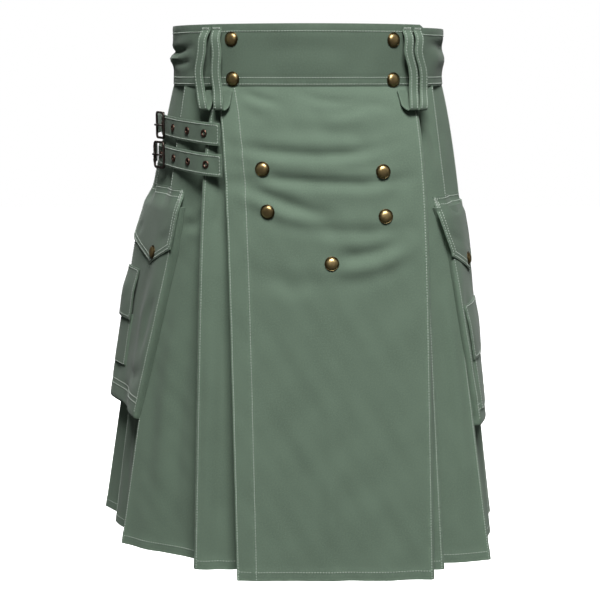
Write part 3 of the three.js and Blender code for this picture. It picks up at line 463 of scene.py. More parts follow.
def under_apron_panel():
    t = levels()
    first, edge = RIGHT_FOLDS[1], RIGHT_FOLDS[0]
    start = edge["angle"] - (PLEAT_DEPTH + SEAM - LAYER_WAIST / 2 - 2 * SEAM) * degrees_per_mm(edge["angle"])
    hem_from = first["emerge"] + first["along"] * (3 * SEAM - PLEAT_DEPTH)
    hem_to = np.array([UNDER_APRON_END["x"], UNDER_APRON_END["y"]])
    lines = [
        hang(
            waist_point(-start + (UNDER_APRON_END["angle"] + start) * s, LAYER_WAIST),
            hem_from + (hem_to - hem_from) * s, t, FRONT_SWING,
        )
        for s in np.linspace(0, 1, 34)
    ]
    return Panel("under_apron", grid_of(lines, t), out=(0, -1, 0))


def underlay_panel():
    t = levels()
    ends = []
    for side, folds in FOLDS.items():
        fold, beyond = folds[-2], folds[-1]
        scale = degrees_per_mm(fold["angle"])
        back = fold["angle"] - (PLEAT_DEPTH - LAYER_WAIST / 2 - 2 * SEAM) * scale
        depth = fold["tuck"] + fold["slope"] * PLEAT_DEPTH + 2 * LAYER_WAIST
        emerge = beyond["emerge"] + beyond["inward"] * LAYER_HEM / 2
        start = beyond["hidden"] + beyond["approach_in"] * LAYER_HEM / 2 + beyond["approach"] * 4 * SEAM
        lines = []
        for s in np.linspace(0, 1, 9):
            inward = depth + (2 * LAYER_WAIST - depth) * s
            waist = waist_point(side * (back + (fold["angle"] - back) * s), inward)
            lines.append(hang(waist, start + (emerge - start) * s, t, fold["swing"]))
        ends.append(lines)
    middle = [ends[0][-1] + (ends[1][-1] - ends[0][-1]) * s for s in np.linspace(0, 1, 10)[1:-1]]
    return Panel("centre_back_underlay", grid_of(ends[0] + middle + ends[1][::-1], t), out=(0, 1, 0))


# The hips, on which straps and pockets lie


class HipLine:
    """The smooth line round one hip that rests on the stitched folds, at one height."""

    SAMPLES = 80

    def __init__(self, side, z):
        t = np.array([share(z)])
        points = [hang(waist_point(side * f["angle"]), f["hem"], t, f["swing"])[0] for f in FOLDS[side][:6]]
        curve = []
        for k in range(5):
            p = [points[k], points[k + 1]]
            p.insert(0, points[k - 1] if k else 2 * p[0] - p[1])
            p.append(points[k + 2] if k < 4 else 2 * p[2] - p[1])
            knots = np.cumsum([0] + [np.linalg.norm(p[j + 1] - p[j]) ** 0.5 for j in range(3)])
            for u in np.linspace(knots[1], knots[2], self.SAMPLES, endpoint=k == 4):
                row = list(p)
                for level in (1, 2, 3):
                    row = [
                        self.between(row[j], row[j + 1], *self.span(knots, level, j), u)
                        for j in range(len(row) - 1)
                    ]
                curve.append(row[0])
        self.side, self.z = side, z
        self.curve = np.array(curve)
        steps = np.linalg.norm(np.diff(self.curve, axis=0), axis=1)
        self.reached = np.concatenate([[0], np.cumsum(steps)])
        self.second_fold = self.reached[2 * self.SAMPLES]

    @staticmethod
    def span(knots, level, j):
        if level == 1:
            return knots[j], knots[j + 1]
        if level == 2:
            return knots[j], knots[j + 2]
        return knots[1], knots[2]

    @staticmethod
    def between(a, b, low, high, u):
        return a + (b - a) * (u - low) / (high - low)

    def point(self, distance):
        return np.array([np.interp(distance, self.reached, self.curve[:, k]) for k in (0, 1)])

    def station(self, distance, out_by):
        """A point out from the folds, the direction along the hip and the direction out."""
        distance = min(max(distance, 1), self.reached[-1] - 1)
        along = unit(self.point(distance + 1) - self.point(distance - 1))
        out = np.array([along[1] * self.side, -along[0] * self.side])
        point = self.point(distance) + out * out_by
        return np.array([*point, self.z]), np.array([*along, 0]), np.array([*out, 0])


def strap_height(strap, distance):
    front, back = STRAPS[strap]
    return front + (back - front) * distance / STRAP_HOLES[3]


def strap_station(strap, distance, out_by):
    return HipLine(-1, strap_height(strap, distance)).station(distance, out_by)


def pocket_front(hip):
    pocket = POCKETS[hip.side]
    top, corner, bottom = pocket["leads"]
    if hip.z > POCKET_CORNER:
        lead = top + (corner - top) * (pocket["top"] - hip.z) / (pocket["top"] - POCKET_CORNER)
    else:
        lead = corner + (bottom - corner) * (POCKET_CORNER - hip.z) / (POCKET_CORNER - POCKET_BOTTOM)
    return hip.second_fold - lead


def bag_depth(side, z, along):
    """How far the bag's face stands out from its back."""
    front, middle, back = POCKETS[side]["depths"]
    tip = FLAP_TIP_SHARE * POCKET_WIDTH
    depth = front + (middle - front) * smooth(along, 0, tip)
    depth = depth + (back - middle) * smooth(along, tip, POCKET_WIDTH)
    top, corner, bottom = BAG_GROWTH
    upper = top + (corner - top) * (BAG_TOP - z) / (BAG_TOP - POCKET_CORNER)
    lower = corner + (bottom - corner) * (POCKET_CORNER - z) / (POCKET_CORNER - POCKET_BOTTOM)
    return depth * np.where(z > POCKET_CORNER, upper, lower)


def lid_out(side, z, along):
    top = POCKETS[side]["top"]
    return POCKET_OUT + np.maximum(bag_depth(side, z, along), 0.5) * smooth(-z, -top, -top + FLAP_RISE)


# Materials


class Value:
    """A number that varies over a surface. Its operators add Math nodes."""

    def __init__(self, recipe, socket):
        self.recipe, self.socket = recipe, socket

    def math(self, operation, first, second=None):
        inputs = {0: first} if second is None else {0: first, 1: second}
        return self.recipe.value("ShaderNodeMath", {"operation": operation}, inputs)

    def __add__(self, other):
        return self.math("ADD", self, other)

    __radd__ = __add__

    def __sub__(self, other):
        return self.math("SUBTRACT", self, other)

    def __rsub__(self, other):
        return self.math("SUBTRACT", other, self)

    def __mul__(self, other):
        return self.math("MULTIPLY", self, other)

    __rmul__ = __mul__

    def __truediv__(self, other):
        return self.math("DIVIDE", self, other)

    def __pow__(self, other):
        return self.math("POWER", self, other)

    def band(self, low, high):
        """0 below low, 1 above high and a soft step between."""
        limits = {0: self, 1: low, 2: high, 3: 0.0, 4: 1.0}
        return self.recipe.value("ShaderNodeMapRange", {"interpolation_type": "SMOOTHSTEP"}, limits)


class Recipe:
    """A node material for one finish."""

    def __init__(self, name, **constants):
        self.material = bpy.data.materials.new(name)
        self.material.use_nodes = True
        self.tree = self.material.node_tree
        self.surface = self.tree.nodes["Principled BSDF"]
        for socket, value in constants.items():
            self.surface.inputs[socket.replace("_", " ")].default_value = value

    def node(self, kind, settings=None, inputs=None):
        made = self.tree.nodes.new(kind)
        for key, value in (settings or {}).items():
            setattr(made, key, value)
        for key, value in (inputs or {}).items():
            if isinstance(value, Value):
                self.tree.links.new(value.socket, made.inputs[key])
            elif isinstance(value, bpy.types.NodeSocket):
                self.tree.links.new(value, made.inputs[key])
            else:
                made.inputs[key].default_value = value
        return made

    def value(self, kind, settings=None, inputs=None, output=0):
        return Value(self, self.node(kind, settings, inputs).outputs[output])

    def place(self, source, scale):
        """Coordinates in units of a pattern: scale is the size of one unit in metres, or three sizes."""
        sizes = scale if isinstance(scale, tuple) else (scale,) * 3
        where = self.node("ShaderNodeTexCoord").outputs[source]
        settings = {"operation": "MULTIPLY"}
        inputs = {0: where, 1: tuple(1 / size for size in sizes)}
        return self.node("ShaderNodeVectorMath", settings, inputs).outputs[0]

    def noise(self, source, scale, detail=2.0, roughness=0.5):
        inputs = {"Vector": self.place(source, scale), "Scale": 1.0, "Detail": detail, "Roughness": roughness}
        return self.value("ShaderNodeTexNoise", None, inputs)

    def attribute(self, name):
        return Value(self, self.node("ShaderNodeAttribute", {"attribute_name": name}).outputs["Fac"])

    def mix(self, factor, first, second):
        inputs = {0: factor, 6: self.paint(first), 7: self.paint(second)}
        return self.node("ShaderNodeMix", {"data_type": "RGBA"}, inputs).outputs[2]

    @staticmethod
    def paint(colour):
        return colour if isinstance(colour, bpy.types.NodeSocket) else (*colour[:3], 1.0)

    def finish(self, colour, roughness=None, height=None, strength=0.3, distance=0.0004, metallic=None):
        self.tree.links.new(colour, self.surface.inputs["Base Color"])
        for socket, varying in (("Roughness", roughness), ("Metallic", metallic)):
            if varying is not None:
                self.tree.links.new(varying.socket, self.surface.inputs[socket])
        if height is not None:
            inputs = {"Strength": strength, "Distance": distance, "Height": height}
            bump = self.node("ShaderNodeBump", None, inputs)
            self.tree.links.new(bump.outputs[0], self.surface.inputs["Normal"])
        return self.material


def shade(colour, factor):
    return tuple(channel * factor for channel in colour)


def twill_material(name, colour, wash):
    """Washed cotton twill: fine diagonal ribs, slubs, soft mottling, and paler wear along seams and edges."""
    recipe = Recipe(name, Roughness=0.9, Sheen_Weight=0.12, Sheen_Roughness=0.5, Specular_IOR_Level=0.25)
    ribs = recipe.value(
        "ShaderNodeTexWave",
        {"wave_type": "BANDS", "bands_direction": "DIAGONAL", "wave_profile": "SIN"},
        {
            "Vector": recipe.place("UV", MM), "Scale": 0.42, "Distortion": 1.2, "Detail": 1.0,
            "Detail Scale": 0.6,
        },
        1,
    )
    slub = recipe.noise("UV", (0.0006, 0.009, 0.01), 3.0, 0.6)
    fleck = recipe.noise("UV", 0.0016, 3.0, 0.7)
    cloud = recipe.noise("Object", 0.05, 3.0, 0.55)
    seam = recipe.attribute("seam")
    rubbed = seam * recipe.noise("UV", 0.006, 2.0, 0.6).band(0.35, 0.75)
    tone = recipe.mix(cloud.band(0.3, 0.7), shade(colour, 0.94), shade(colour, 1.06))
    tone = recipe.mix(fleck.band(0.38, 0.72), tone, shade(colour, 1.16))
    tone = recipe.mix(slub.band(0.55, 0.8) * 0.35, tone, shade(colour, 1.28))
    tone = recipe.mix(ribs * 0.18, tone, shade(colour, 0.74))
    tone = recipe.mix(rubbed * wash, tone, shade(colour, 1.75))
    height = ribs * 0.5 + slub * 0.5 + fleck * 0.4 + seam * recipe.noise("UV", (0.005, 0.005, 0.01)) * 2.2
    return recipe.finish(tone, 0.86 + fleck * 0.12, height, 0.32, 0.00045)


def thread_material(name, colour):
    """Spun polyester thread with a twist."""
    recipe = Recipe(name, Roughness=0.7, Sheen_Weight=0.2, Specular_IOR_Level=0.35)
    twist = recipe.noise("Object", 0.0009, 2.0)
    tone = recipe.mix(twist.band(0.3, 0.7), shade(colour, 0.8), colour)
    return recipe.finish(tone, 0.6 + twist * 0.2, twist, 0.4, 0.0002)


def metal_material(name, bright, dark, roughness):
    """Plated metal with dark antiquing in its hollows and a brighter, rubbed crown."""
    recipe = Recipe(name, Metallic=1.0, Specular_IOR_Level=0.5)
    worn = recipe.attribute("worn")
    patches = recipe.noise("Object", 0.0022, 4.0, 0.65)
    scratch = recipe.noise("Object", (0.0004, 0.003, 0.0007), 3.0, 0.7)
    shine = worn * 0.75 + (patches - 0.5) * 0.7
    tone = recipe.mix(shine.band(0.1, 0.75), dark, bright)
    tone = recipe.mix(scratch.band(0.62, 0.8) * 0.5, tone, shade(bright, 1.35))
    grain = roughness + (patches - 0.5) * 0.25 + scratch * 0.08
    return recipe.finish(tone, grain, patches * 0.6 + scratch * 0.4, 0.18, 0.0002)


def floor_material(name):
    recipe = Recipe(name, Roughness=0.95, Specular_IOR_Level=0.1)
    tone = recipe.mix(recipe.noise("Object", 0.4, 2.0), (0.93, 0.93, 0.93), (0.97, 0.97, 0.97))
    recipe.surface.inputs["Emission Color"].default_value = (1, 1, 1, 1)
    recipe.surface.inputs["Emission Strength"].default_value = 1.0
    return recipe.finish(tone)


def material(name):
    """The finish of that name, made the first time it is asked for."""
    if name in bpy.data.materials:
        return bpy.data.materials[name]
    look = bpy.context.scene.kilt
    cloth, thread = tuple(look.cloth_colour), tuple(look.thread_colour)
    brass, bronze, copper = tuple(look.brass_colour), tuple(look.bronze_colour), tuple(look.copper_colour)
    makers = {
        "sage_twill": lambda: twill_material(name, cloth, 0.55),
        "sage_tape": lambda: twill_material(name, shade(cloth, 0.9), 0.75),
        # The waistband is the same twill darkened to 0.82: painted shade, for the band lying darker than the
        # apron below under the top light
        "sage_band_painted_shade": lambda: twill_material(name, shade(cloth, 0.82), 0.6),
        "pale_thread": lambda: thread_material(name, thread),
        "antique_brass": lambda: metal_material(name, brass, shade(brass, 0.22), 0.34),
        "dark_bronze": lambda: metal_material(name, bronze, shade(bronze, 0.3), 0.38),
        "dark_copper": lambda: metal_material(name, copper, shade(copper, 0.3), 0.36),
        # Near-black finish for the discs inside the eyelets: painted shade in the holes
        "painted_hole_shade": lambda: metal_material(name, (0.012, 0.010, 0.009), (0.004, 0.004, 0.004), 0.8),
        "pale_floor": lambda: floor_material(name),
    }
    return makers[name]()


# Making pieces


def deselect_all():
    if bpy.context.mode != "OBJECT":
        bpy.ops.object.mode_set(mode="OBJECT")
    bpy.ops.object.select_all(action="DESELECT")


def activate(piece):
    deselect_all()
    piece.select_set(True)
    bpy.context.view_layer.objects.active = piece


def settle(piece, nodes, finish):
    """Gives a finished piece its material, its body and the solids that it stands for."""
    piece.data.materials.clear()
    piece.data.materials.append(material(finish))
    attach(piece, "root")
    if nodes:
        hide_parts(*nodes)
    return piece


def apply_all(piece):
    activate(piece)
    for modifier in list(piece.modifiers):
        bpy.ops.object.modifier_apply(modifier=modifier.name)


def cloth_piece(panel, wall, seam, thick=None, finish="sage_twill"):
    """A sheet of cloth with a real wall, made from a panel's middle surface.

    seam says how worn and puckered each point is, and thick is its share of the wall.
    """
    rows, columns = panel.grid.shape[:2]
    mesh = bpy.data.meshes.new(panel.name)
    index = np.arange(rows * columns).reshape(rows, columns)
    a, b, c, d = index[:-1, :-1], index[:-1, 1:], index[1:, 1:], index[1:, :-1]
    quads = np.stack([a, b, c, d] if panel.turn > 0 else [a, d, c, b], axis=-1).reshape(-1, 4)
    mesh.from_pydata((panel.grid.reshape(-1, 3) * MM).tolist(), [], quads.tolist())
    arc, drop = panel.arcs(), panel.drops()
    layer = mesh.uv_layers.new(name="UVMap")
    corner = np.zeros(len(mesh.loops), int)
    mesh.loops.foreach_get("vertex_index", corner)
    across = (arc - arc[:, panel.last : panel.last + 1]).reshape(-1)[corner] * MM
    down = -drop.reshape(-1)[corner] * MM
    layer.data.foreach_set("uv", np.stack([across, down], axis=1).astype(np.float32).ravel())
    worn = np.clip(seam, 0, 1).astype(np.float32).ravel()
    mesh.attributes.new("seam", "FLOAT", "POINT").data.foreach_set("value", worn)
    piece = bpy.data.objects.new(panel.name, mesh)
    bpy.context.scene.collection.objects.link(piece)
    solid = piece.modifiers.new("wall", "SOLIDIFY")
    solid.thickness = wall * MM
    solid.offset = 0
    if thick is not None:
        group = piece.vertex_groups.new(name="thick")
        for k, weight in enumerate(np.clip(thick, 0, 1).ravel()):
            group.add([k], float(weight), "REPLACE")
        solid.vertex_group = "thick"
    apply_all(piece)
    if thick is not None:
        piece.vertex_groups.clear()
    bpy.ops.object.shade_smooth_by_angle(angle=math.radians(55))
    return settle(piece, [panel.name], finish)


def declare(panel):
    width, length, area = (panel.flat[0] * MM, panel.flat[1] * MM, panel.flat[2] * MM * MM)
    min(area, width * length)


class Thread:
    """Rows of stitches that are joined into one piece of mesh."""

    def __init__(self, name):
        self.name = name
        self.centres, self.runs, self.rises = [], [], []

    def sew(self, points, normals, pitch=3.1, length=2.3, jitter=0.12):
        """Lays stitches along a line on the cloth. points are in millimetres."""
        steps = np.linalg.norm(np.diff(points, axis=0), axis=1)
        reached = np.concatenate([[0], np.cumsum(steps)])
        count = int(reached[-1] / pitch)
        if count < 1:
            return
        draw = np.random.RandomState(int(abs(points[0]).sum() * 10) % 100000)
        middle = (np.arange(count) + 0.5) * reached[-1] / count + draw.uniform(-jitter, jitter, count)
        ends = [middle - length / 2, middle + length / 2]
        start, end = (np.stack([np.interp(e, reached, points[:, k]) for k in range(3)], 1) for e in ends)
        rise = np.stack([np.interp(middle, reached, normals[:, k]) for k in range(3)], 1)
        self.centres.append((start + end) / 2)
        self.runs.append(end - start)
        self.rises.append(rise / np.linalg.norm(rise, axis=1, keepdims=True))

    def knit(self, radius):
        """Makes the piece: each stitch is a short spindle that dips into the cloth at both ends."""
        centres, runs, rises = (np.concatenate(rows) for rows in (self.centres, self.runs, self.rises))
        runs_length = np.linalg.norm(runs, axis=1, keepdims=True)
        ahead = runs / np.maximum(runs_length, 1e-6)
        aside = np.cross(ahead, rises)
        aside /= np.maximum(np.linalg.norm(aside, axis=1, keepdims=True), 1e-6)
        rise = np.cross(aside, ahead)
        half = runs_length / 2
        parts = [centres - ahead * half - rise * radius * 0.7]
        for shift in (-0.62, 0.62):
            for turn in range(4):
                phi = math.tau * (turn + 0.5) / 4
                ring = aside * math.cos(phi) * radius * 1.25 + rise * (math.sin(phi) * radius)
                parts.append(centres + ahead * half * shift + ring)
        parts.append(centres + ahead * half - rise * radius * 0.7)
        points = np.stack(parts, axis=1)
        faces = []
        for k in range(4):
            n = (k + 1) % 4
            faces += [(0, 1 + n, 1 + k), (9, 5 + k, 5 + n)]
            faces += [(1 + k, 1 + n, 5 + n), (1 + k, 5 + n, 5 + k)]
        index = (np.arange(len(centres))[:, None, None] * 10 + np.array(faces)[None]).reshape(-1, 3)
        mesh = bpy.data.meshes.new(self.name)
        mesh.from_pydata((points.reshape(-1, 3) * MM).tolist(), [], index.tolist())
        mesh.polygons.foreach_set("use_smooth", [True] * len(mesh.polygons))
        piece = bpy.data.objects.new(self.name, mesh)
        bpy.context.scene.collection.objects.link(piece)
        activate(piece)
        bpy.ops.object.mode_set(mode="EDIT")
        bpy.ops.mesh.select_all(action="SELECT")
        bpy.ops.mesh.normals_make_consistent(inside=False)
        bpy.ops.object.mode_set(mode="OBJECT")
        return settle(piece, [], "pale_thread")


PANELS = {}
THREADS = {}


def thread(name):
    if name not in THREADS:
        THREADS[name] = Thread(name)
    return THREADS[name]


def sew_down(spool, panel, distance, top, bottom, lift):
    """A row of stitches down a panel's face at one distance from its first edge."""
    rows = np.linspace(panel.row_at(top), panel.row_at(bottom), max(int(abs(top - bottom) / 2), 3))
    thread(spool).sew(*panel.at(rows, panel.column_at(rows, distance), lift))


def sew_row(spool, panel, row, columns, lift, **stitch):
    """A row of stitches along one row of a panel's grid."""
    thread(spool).sew(*panel.at(np.full(len(columns), row), columns, lift), **stitch)


def sew_column(spool, panel, rows, column, lift):
    """A row of stitches along one column of a panel's grid."""
    thread(spool).sew(*panel.at(rows, np.full(len(rows), column), lift))


def sew_fold(spool, panel, top, lift):
    """A row of stitches down a fold, close to the edge that its turn makes."""
    heights = np.linspace(top, HEM + 0.5, int(top - HEM) // 2)
    inset = FOLD_STITCH_TOP - FOLD_STITCH_LESS * share(heights)
    rows = panel.row_at(heights)
    thread(spool).sew(*panel.at(rows, panel.column_at(rows, inset, True), lift))


def sew_across(spool, panel, above_end, first, last, lift):
    """A row of stitches across a panel, at one height above its last row."""
    columns = np.linspace(first, last, max(int(last - first) * 2, 3))
    sew_row(spool, panel, panel.row_at(HEM + above_end), columns, lift)


def near(distance, reach):
    return np.exp(-((np.asarray(distance) / reach) ** 2))


# What a user may change


class KiltSettings(bpy.types.PropertyGroup):
    cloth_colour: FloatVectorProperty(
        name="Cloth", description="Colour of the twill", subtype="COLOR", size=3, default=(0.135, 0.192, 0.140)
    )
    thread_colour: FloatVectorProperty(
        name="Thread", description="Colour of the contrast stitching", subtype="COLOR", size=3,
        default=(0.50, 0.58, 0.50),
    )
    brass_colour: FloatVectorProperty(
        name="Snaps", description="Colour of the antique brass snaps", subtype="COLOR", size=3,
        default=(0.50, 0.37, 0.17),
    )
    bronze_colour: FloatVectorProperty(
        name="Buckles", description="Colour of the dark buckles", subtype="COLOR", size=3,
        default=(0.13, 0.10, 0.085),
    )
    copper_colour: FloatVectorProperty(
        name="Eyelets", description="Colour of the eyelets", subtype="COLOR", size=3,
        default=(0.17, 0.10, 0.075),
    )
    cloth_wall: FloatProperty(
        name="Cloth thickness", description="Thickness of the twill", unit="LENGTH", default=0.0012, min=0.0005
    )
    stitch_radius: FloatProperty(
        name="Thread radius", description="Radius of one stitch", unit="LENGTH", default=0.0005, min=0.0001
    )
    crease_depth: FloatProperty(
        name="Creases", description="Depth of the creases, as a share of the worn depth", default=1.0, min=0
    )
    key_power: FloatProperty(
        name="Key light", description="Power of the large frontal softbox", unit="POWER", default=312.0, min=0
    )


def settings():
    return bpy.context.scene.kilt


# Operators


class KILT_OT_stage(bpy.types.Operator):
    """Adds the floor, the soft studio light and the camera"""

    bl_idname = "kilt.stage"
    bl_label = "Stage"

    def execute(self, context):
        scene = context.scene
        scene.view_settings.view_transform = "Standard"
        deselect_all()
        bpy.ops.mesh.primitive_plane_add(size=FLOOR_SIZE, location=FLOOR_PLACE)
        floor = context.active_object
        floor.name = "floor"
        bpy.ops.object.transform_apply(location=True, rotation=True, scale=True)
        floor.data.materials.append(material("pale_floor"))
        floor.visible_diffuse = floor.visible_glossy = False
        for name, (place, width, height, strength) in SOFTBOXES.items():
            self.light(f"softbox_{name}", place, width, height, settings().key_power * strength)
        world = bpy.data.worlds.new("studio") if scene.world is None else scene.world
        scene.world = world
        world.use_nodes = True
        tree = world.node_tree
        ground = tree.nodes["Background"]
        ground.inputs["Color"].default_value = (1, 1, 1, 1)
        path = tree.nodes.new("ShaderNodeLightPath")
        span = tree.nodes.new("ShaderNodeMapRange")
        tree.links.new(path.outputs["Is Camera Ray"], span.inputs[0])
        span.inputs[3].default_value = SKY_LIGHT
        span.inputs[4].default_value = SKY_SEEN
        tree.links.new(span.outputs[0], ground.inputs["Strength"])
        camera = bpy.data.objects.new("camera", bpy.data.cameras.new("camera"))
        scene.collection.objects.link(camera)
        camera.location = CAMERA_PLACE
        camera.rotation_euler = (math.radians(90 - CAMERA_PITCH), 0, 0)
        camera.data.sensor_width = SENSOR_WIDTH
        camera.data.lens = SENSOR_WIDTH * FOCAL_SHARE
        scene.camera = camera
        return {"FINISHED"}

    def light(self, name, location, width, height, power):
        lamp = bpy.data.lights.new(name, "AREA")
        lamp.shape = "RECTANGLE"
        lamp.size, lamp.size_y, lamp.energy = width, height, power
        holder = bpy.data.objects.new(name, lamp)
        bpy.context.scene.collection.objects.link(holder)
        holder.location = location
        aim = Vector(LIT_POINT) - Vector(location)
        holder.rotation_euler = aim.to_track_quat("-Z", "Y").to_euler()


class KILT_OT_waistband(bpy.types.Operator):
    """Makes the two lengths of the waistband, topstitched along both edges"""

    bl_idname = "kilt.waistband"
    bl_label = "Waistband"

    def execute(self, context):
        start, end = BAND_FRONT["from"], BAND_FRONT["to"]
        self.band("waistband_front", start, end, BAND_FRONT["proud"], 1.0)
        self.band("waistband_back", end + 0.16, 360 + start - 0.16, BAND_BACK_PROUD, 1.3)
        return {"FINISHED"}

    def band(self, name, start, end, proud, step):
        angles = np.linspace(start, end, int((end - start) / step) + 1)
        rows = np.arange(30, -33, -3.0)
        heights = np.array([BAND_TOP, BAND_TOP - 0.6, *rows, BAND_BOTTOM, BAND_BOTTOM - 0.6])
        plan = np.array([waist_point(a, BAND_WALL / 2 - proud) for a in angles])
        grid = np.concatenate([
            np.broadcast_to(plan[None], (len(heights), *plan.shape)),
            np.broadcast_to(heights[:, None, None], (len(heights), len(angles), 1)),
        ], axis=2)
        panel = Panel(name, grid, out=(*(waist_point((start + end) / 2) / WAIST**2), 0))
        mm = np.broadcast_to(angles * BAND_MM_PER_DEGREE, grid.shape[:2])
        z = grid[..., 2]
        depth = settings().crease_depth
        lift = 0.35 * waves(mm, z, 11, 25, 80, 35) * smooth(BAND_TOP - abs(z), 0, 12)
        for k, height in enumerate(BAND_STITCHES):
            lift -= 0.22 * near(z - height, 1.6) * (1 + 0.5 * np.sin(mm / 1.5 + 12 + k))
        for line, width, deep in BAND_CREASES:
            for turn in (0, 360):
                points = [((a + turn) * BAND_MM_PER_DEGREE, h) for a, h in line]
                lift += crease(mm, z, points, width, deep * depth)
        panel.push(lift)
        lowered = smooth(angles, 52.5, 54) * (1 - smooth(angles, 100, 125)) * 3.2
        panel.grid[..., 2] -= lowered[None, :] * smooth(z, 0, BAND_TOP)
        seam = 0.55 * near(z - BAND_TOP, 2.5) + 0.4 * near(z - 25, 2.5) + 0.5 * near(z + 31, 4)
        thick = 0.62 + 0.38 * smooth(BAND_TOP - abs(z), 0.2, 1.6)
        thick -= 0.12 * near(z - BAND_STITCHES[0], 1.5) + 0.12 * near(z - BAND_STITCHES[1], 1.5)
        # The band's darker twill is painted shade
        piece = cloth_piece(panel, BAND_WALL, seam, thick, "sage_band_painted_shade")
        declare(panel)
        PANELS[name] = panel
        columns = np.linspace(0.4, grid.shape[1] - 1.4, grid.shape[1] * 3)
        for height in BAND_STITCHES:
            sew_row("stitches_waistband", panel, panel.row_at(height), columns, BAND_WALL / 2 + 0.05)


# Creases on the band as angle and height, with a width and a depth
BAND_MM_PER_DEGREE = 2.4
BAND_CREASES = [
    ([(-98, 7), (-80, 3), (-66, 5), (-56, 9)], 4, 4.2),
    ([(-82, -7), (-66, -8), (-56, -6)], 3.5, 2.2),
    ([(-98, -4), (-82, -2), (-68, -6)], 7, -2.34),
    ([(58, 14), (74, 10), (92, 12)], 7, 2.34),
    ([(62, -8), (80, -4), (100, -9)], 8, -1.56),
    ([(-20, 4), (0, 7), (18, 3)], 9, 0.78),
    ([(130, 10), (150, 5), (170, 9)], 8, 1.82),
    ([(-165, 6), (-140, 2), (-120, 8)], 8, 1.69),
    ([(-60, -20), (-48, -12)], 6, 1.04),
]

# Creases on the apron as x and height, with a width and a depth
APRON_CREASES = [
    ([(-84, -96), (-40, -103), (10, -107), (50, -104), (98, -92)], 6, 2.8),
    ([(-84, -108), (-30, -114), (30, -116), (70, -110)], 6, -1.6),
    ([(-87, -134), (-40, -130), (10, -135), (60, -137), (118, -130)], 6, 2.9),
    ([(-70, -124), (0, -126), (70, -127)], 5, -1.3),
    ([(-87, -137), (-56, -144), (-26, -158), (4, -167), (30, -172)], 7, 3.0),
    ([(-70, -148), (-30, -167), (10, -178)], 7, -2.0),
    ([(-12, -181), (30, -187), (70, -189), (112, -184)], 7, 2.2),
    ([(20, -230), (56, -228), (84, -220), (116, -204)], 8, -2.6),
    ([(30, -216), (70, -212), (100, -200)], 7, 2.0),
    ([(-74, -38), (-52, -46), (-30, -52)], 4, 1.9),
    ([(-70, -50), (-44, -60)], 5, -1.2),
    ([(-10, -40), (10, -47), (32, -50), (60, -47)], 4, 1.8),
    ([(30, -62), (66, -52), (92, -56)], 5, 1.5),
    ([(100, -75), (60, -88), (10, -80), (-40, -78)], 7, 1.3),
    ([(20, -72), (70, -66)], 6, -1.2),
    ([(26, -340), (26, -460), (25, -575)], 8, -2.2),
    ([(-20, -300), (-26, -420), (-30, -560)], 18, 1.6),
    ([(78, -320), (86, -440), (92, -570)], 16, 1.5),
    ([(-60, -230), (-20, -246), (20, -240)], 10, 1.5),
    ([(112, -120), (90, -150), (70, -196)], 9, 1.0),
]


class KILT_OT_aprons(bpy.types.Operator):
    """Makes the flat front apron with its creases, and the apron beneath it"""

    bl_idname = "kilt.aprons"
    bl_label = "Aprons"

    def execute(self, context):
        depth = settings().crease_depth
        wall = settings().cloth_wall / MM
        panel = over_apron_panel()
        x, z = panel.grid[..., 0], panel.grid[..., 2]
        t = share(z)
        columns = np.arange(panel.grid.shape[1])[None, :]
        on_face = 1 - smooth(columns, panel.last - 3, panel.last)
        lift = sum(crease(x, z, line, width, deep * depth) for line, width, deep in APRON_CREASES)
        lift += waves(x, z, 21, 55, 130, 5) * 0.8 * depth * smooth(t, 0.25, 1.0)
        lift += waves(x, z, 22, 24, 60, 60) * 0.4 * depth
        arc = panel.arcs()
        lift -= 0.3 * near(arc - APRON_FACING, 1.4) + 0.3 * near(z - HEM - HEM_TURN, 1.4)
        panel.push(lift * on_face * smooth(-z, 33, 45))
        seam = 0.8 * near(arc, 1.8) + 0.6 * near(arc - APRON_FACING, 2.2)
        seam += 0.6 * near(z - HEM - HEM_TURN, 2.5) + 0.8 * near(z - HEM, 2)
        seam += 0.8 * near(arc - arc[:, panel.last : panel.last + 1], 2.5)
        thick = 0.5 + 0.28 * (z < HEM + HEM_TURN + 2) + 0.22 * (arc < APRON_FACING + 2)
        piece = cloth_piece(panel, wall * 2, seam, thick)
        declare(panel)
        PANELS["over_apron"] = panel
        high = wall / 2 + 0.16
        for distance in (APRON_FACING, 1.6):
            sew_down("stitches_apron", panel, distance, -35, HEM + 0.5, high + 0.2)
        sew_fold("stitches_apron", panel, -60, high)
        sew_across("stitches_apron", panel, HEM_TURN, 0.3, panel.last, high + 0.1)

        under = under_apron_panel()
        x, z = under.grid[..., 0], under.grid[..., 2]
        under.push(waves(x, z, 23, 60, 140, 10) * 0.5 * smooth(share(z), 0.3, 1.0))
        piece = cloth_piece(under, wall, 0.6 * near(z - HEM, 3))
        declare(under)
        return {"FINISHED"}


# Creases on the pleats, as the distance from where the face starts and height, with a width and a depth
PLEAT_CREASES = {
    "right_pleat_1": [
        ([(4, -150), (18, -190)], 6, 1.44), ([(8, -260), (14, -400), (22, -570)], 8, 1.92),
        ([(24, -300), (34, -440), (36, -570)], 8, -1.6),
    ],
    "right_pleat_2": [
        ([(6, -168), (22, -186), (44, -190)], 6, 2.24), ([(20, -240), (44, -400), (60, -570)], 12, 2.56),
        ([(40, -240), (66, -400), (86, -570)], 12, -1.92), ([(4, -90), (20, -104)], 5, 1.28),
    ],
    "left_pleat_1": [
        ([(6, -70), (10, -130)], 5, 1.12), ([(8, -300), (14, -440), (16, -570)], 7, 1.6),
    ],
    "left_pleat_2": [
        ([(14, -240), (24, -380), (34, -560)], 9, 2.24), ([(28, -240), (40, -380), (52, -560)], 9, -1.92),
        ([(6, -60), (22, -80), (30, -120)], 6, 1.6),
    ],
}


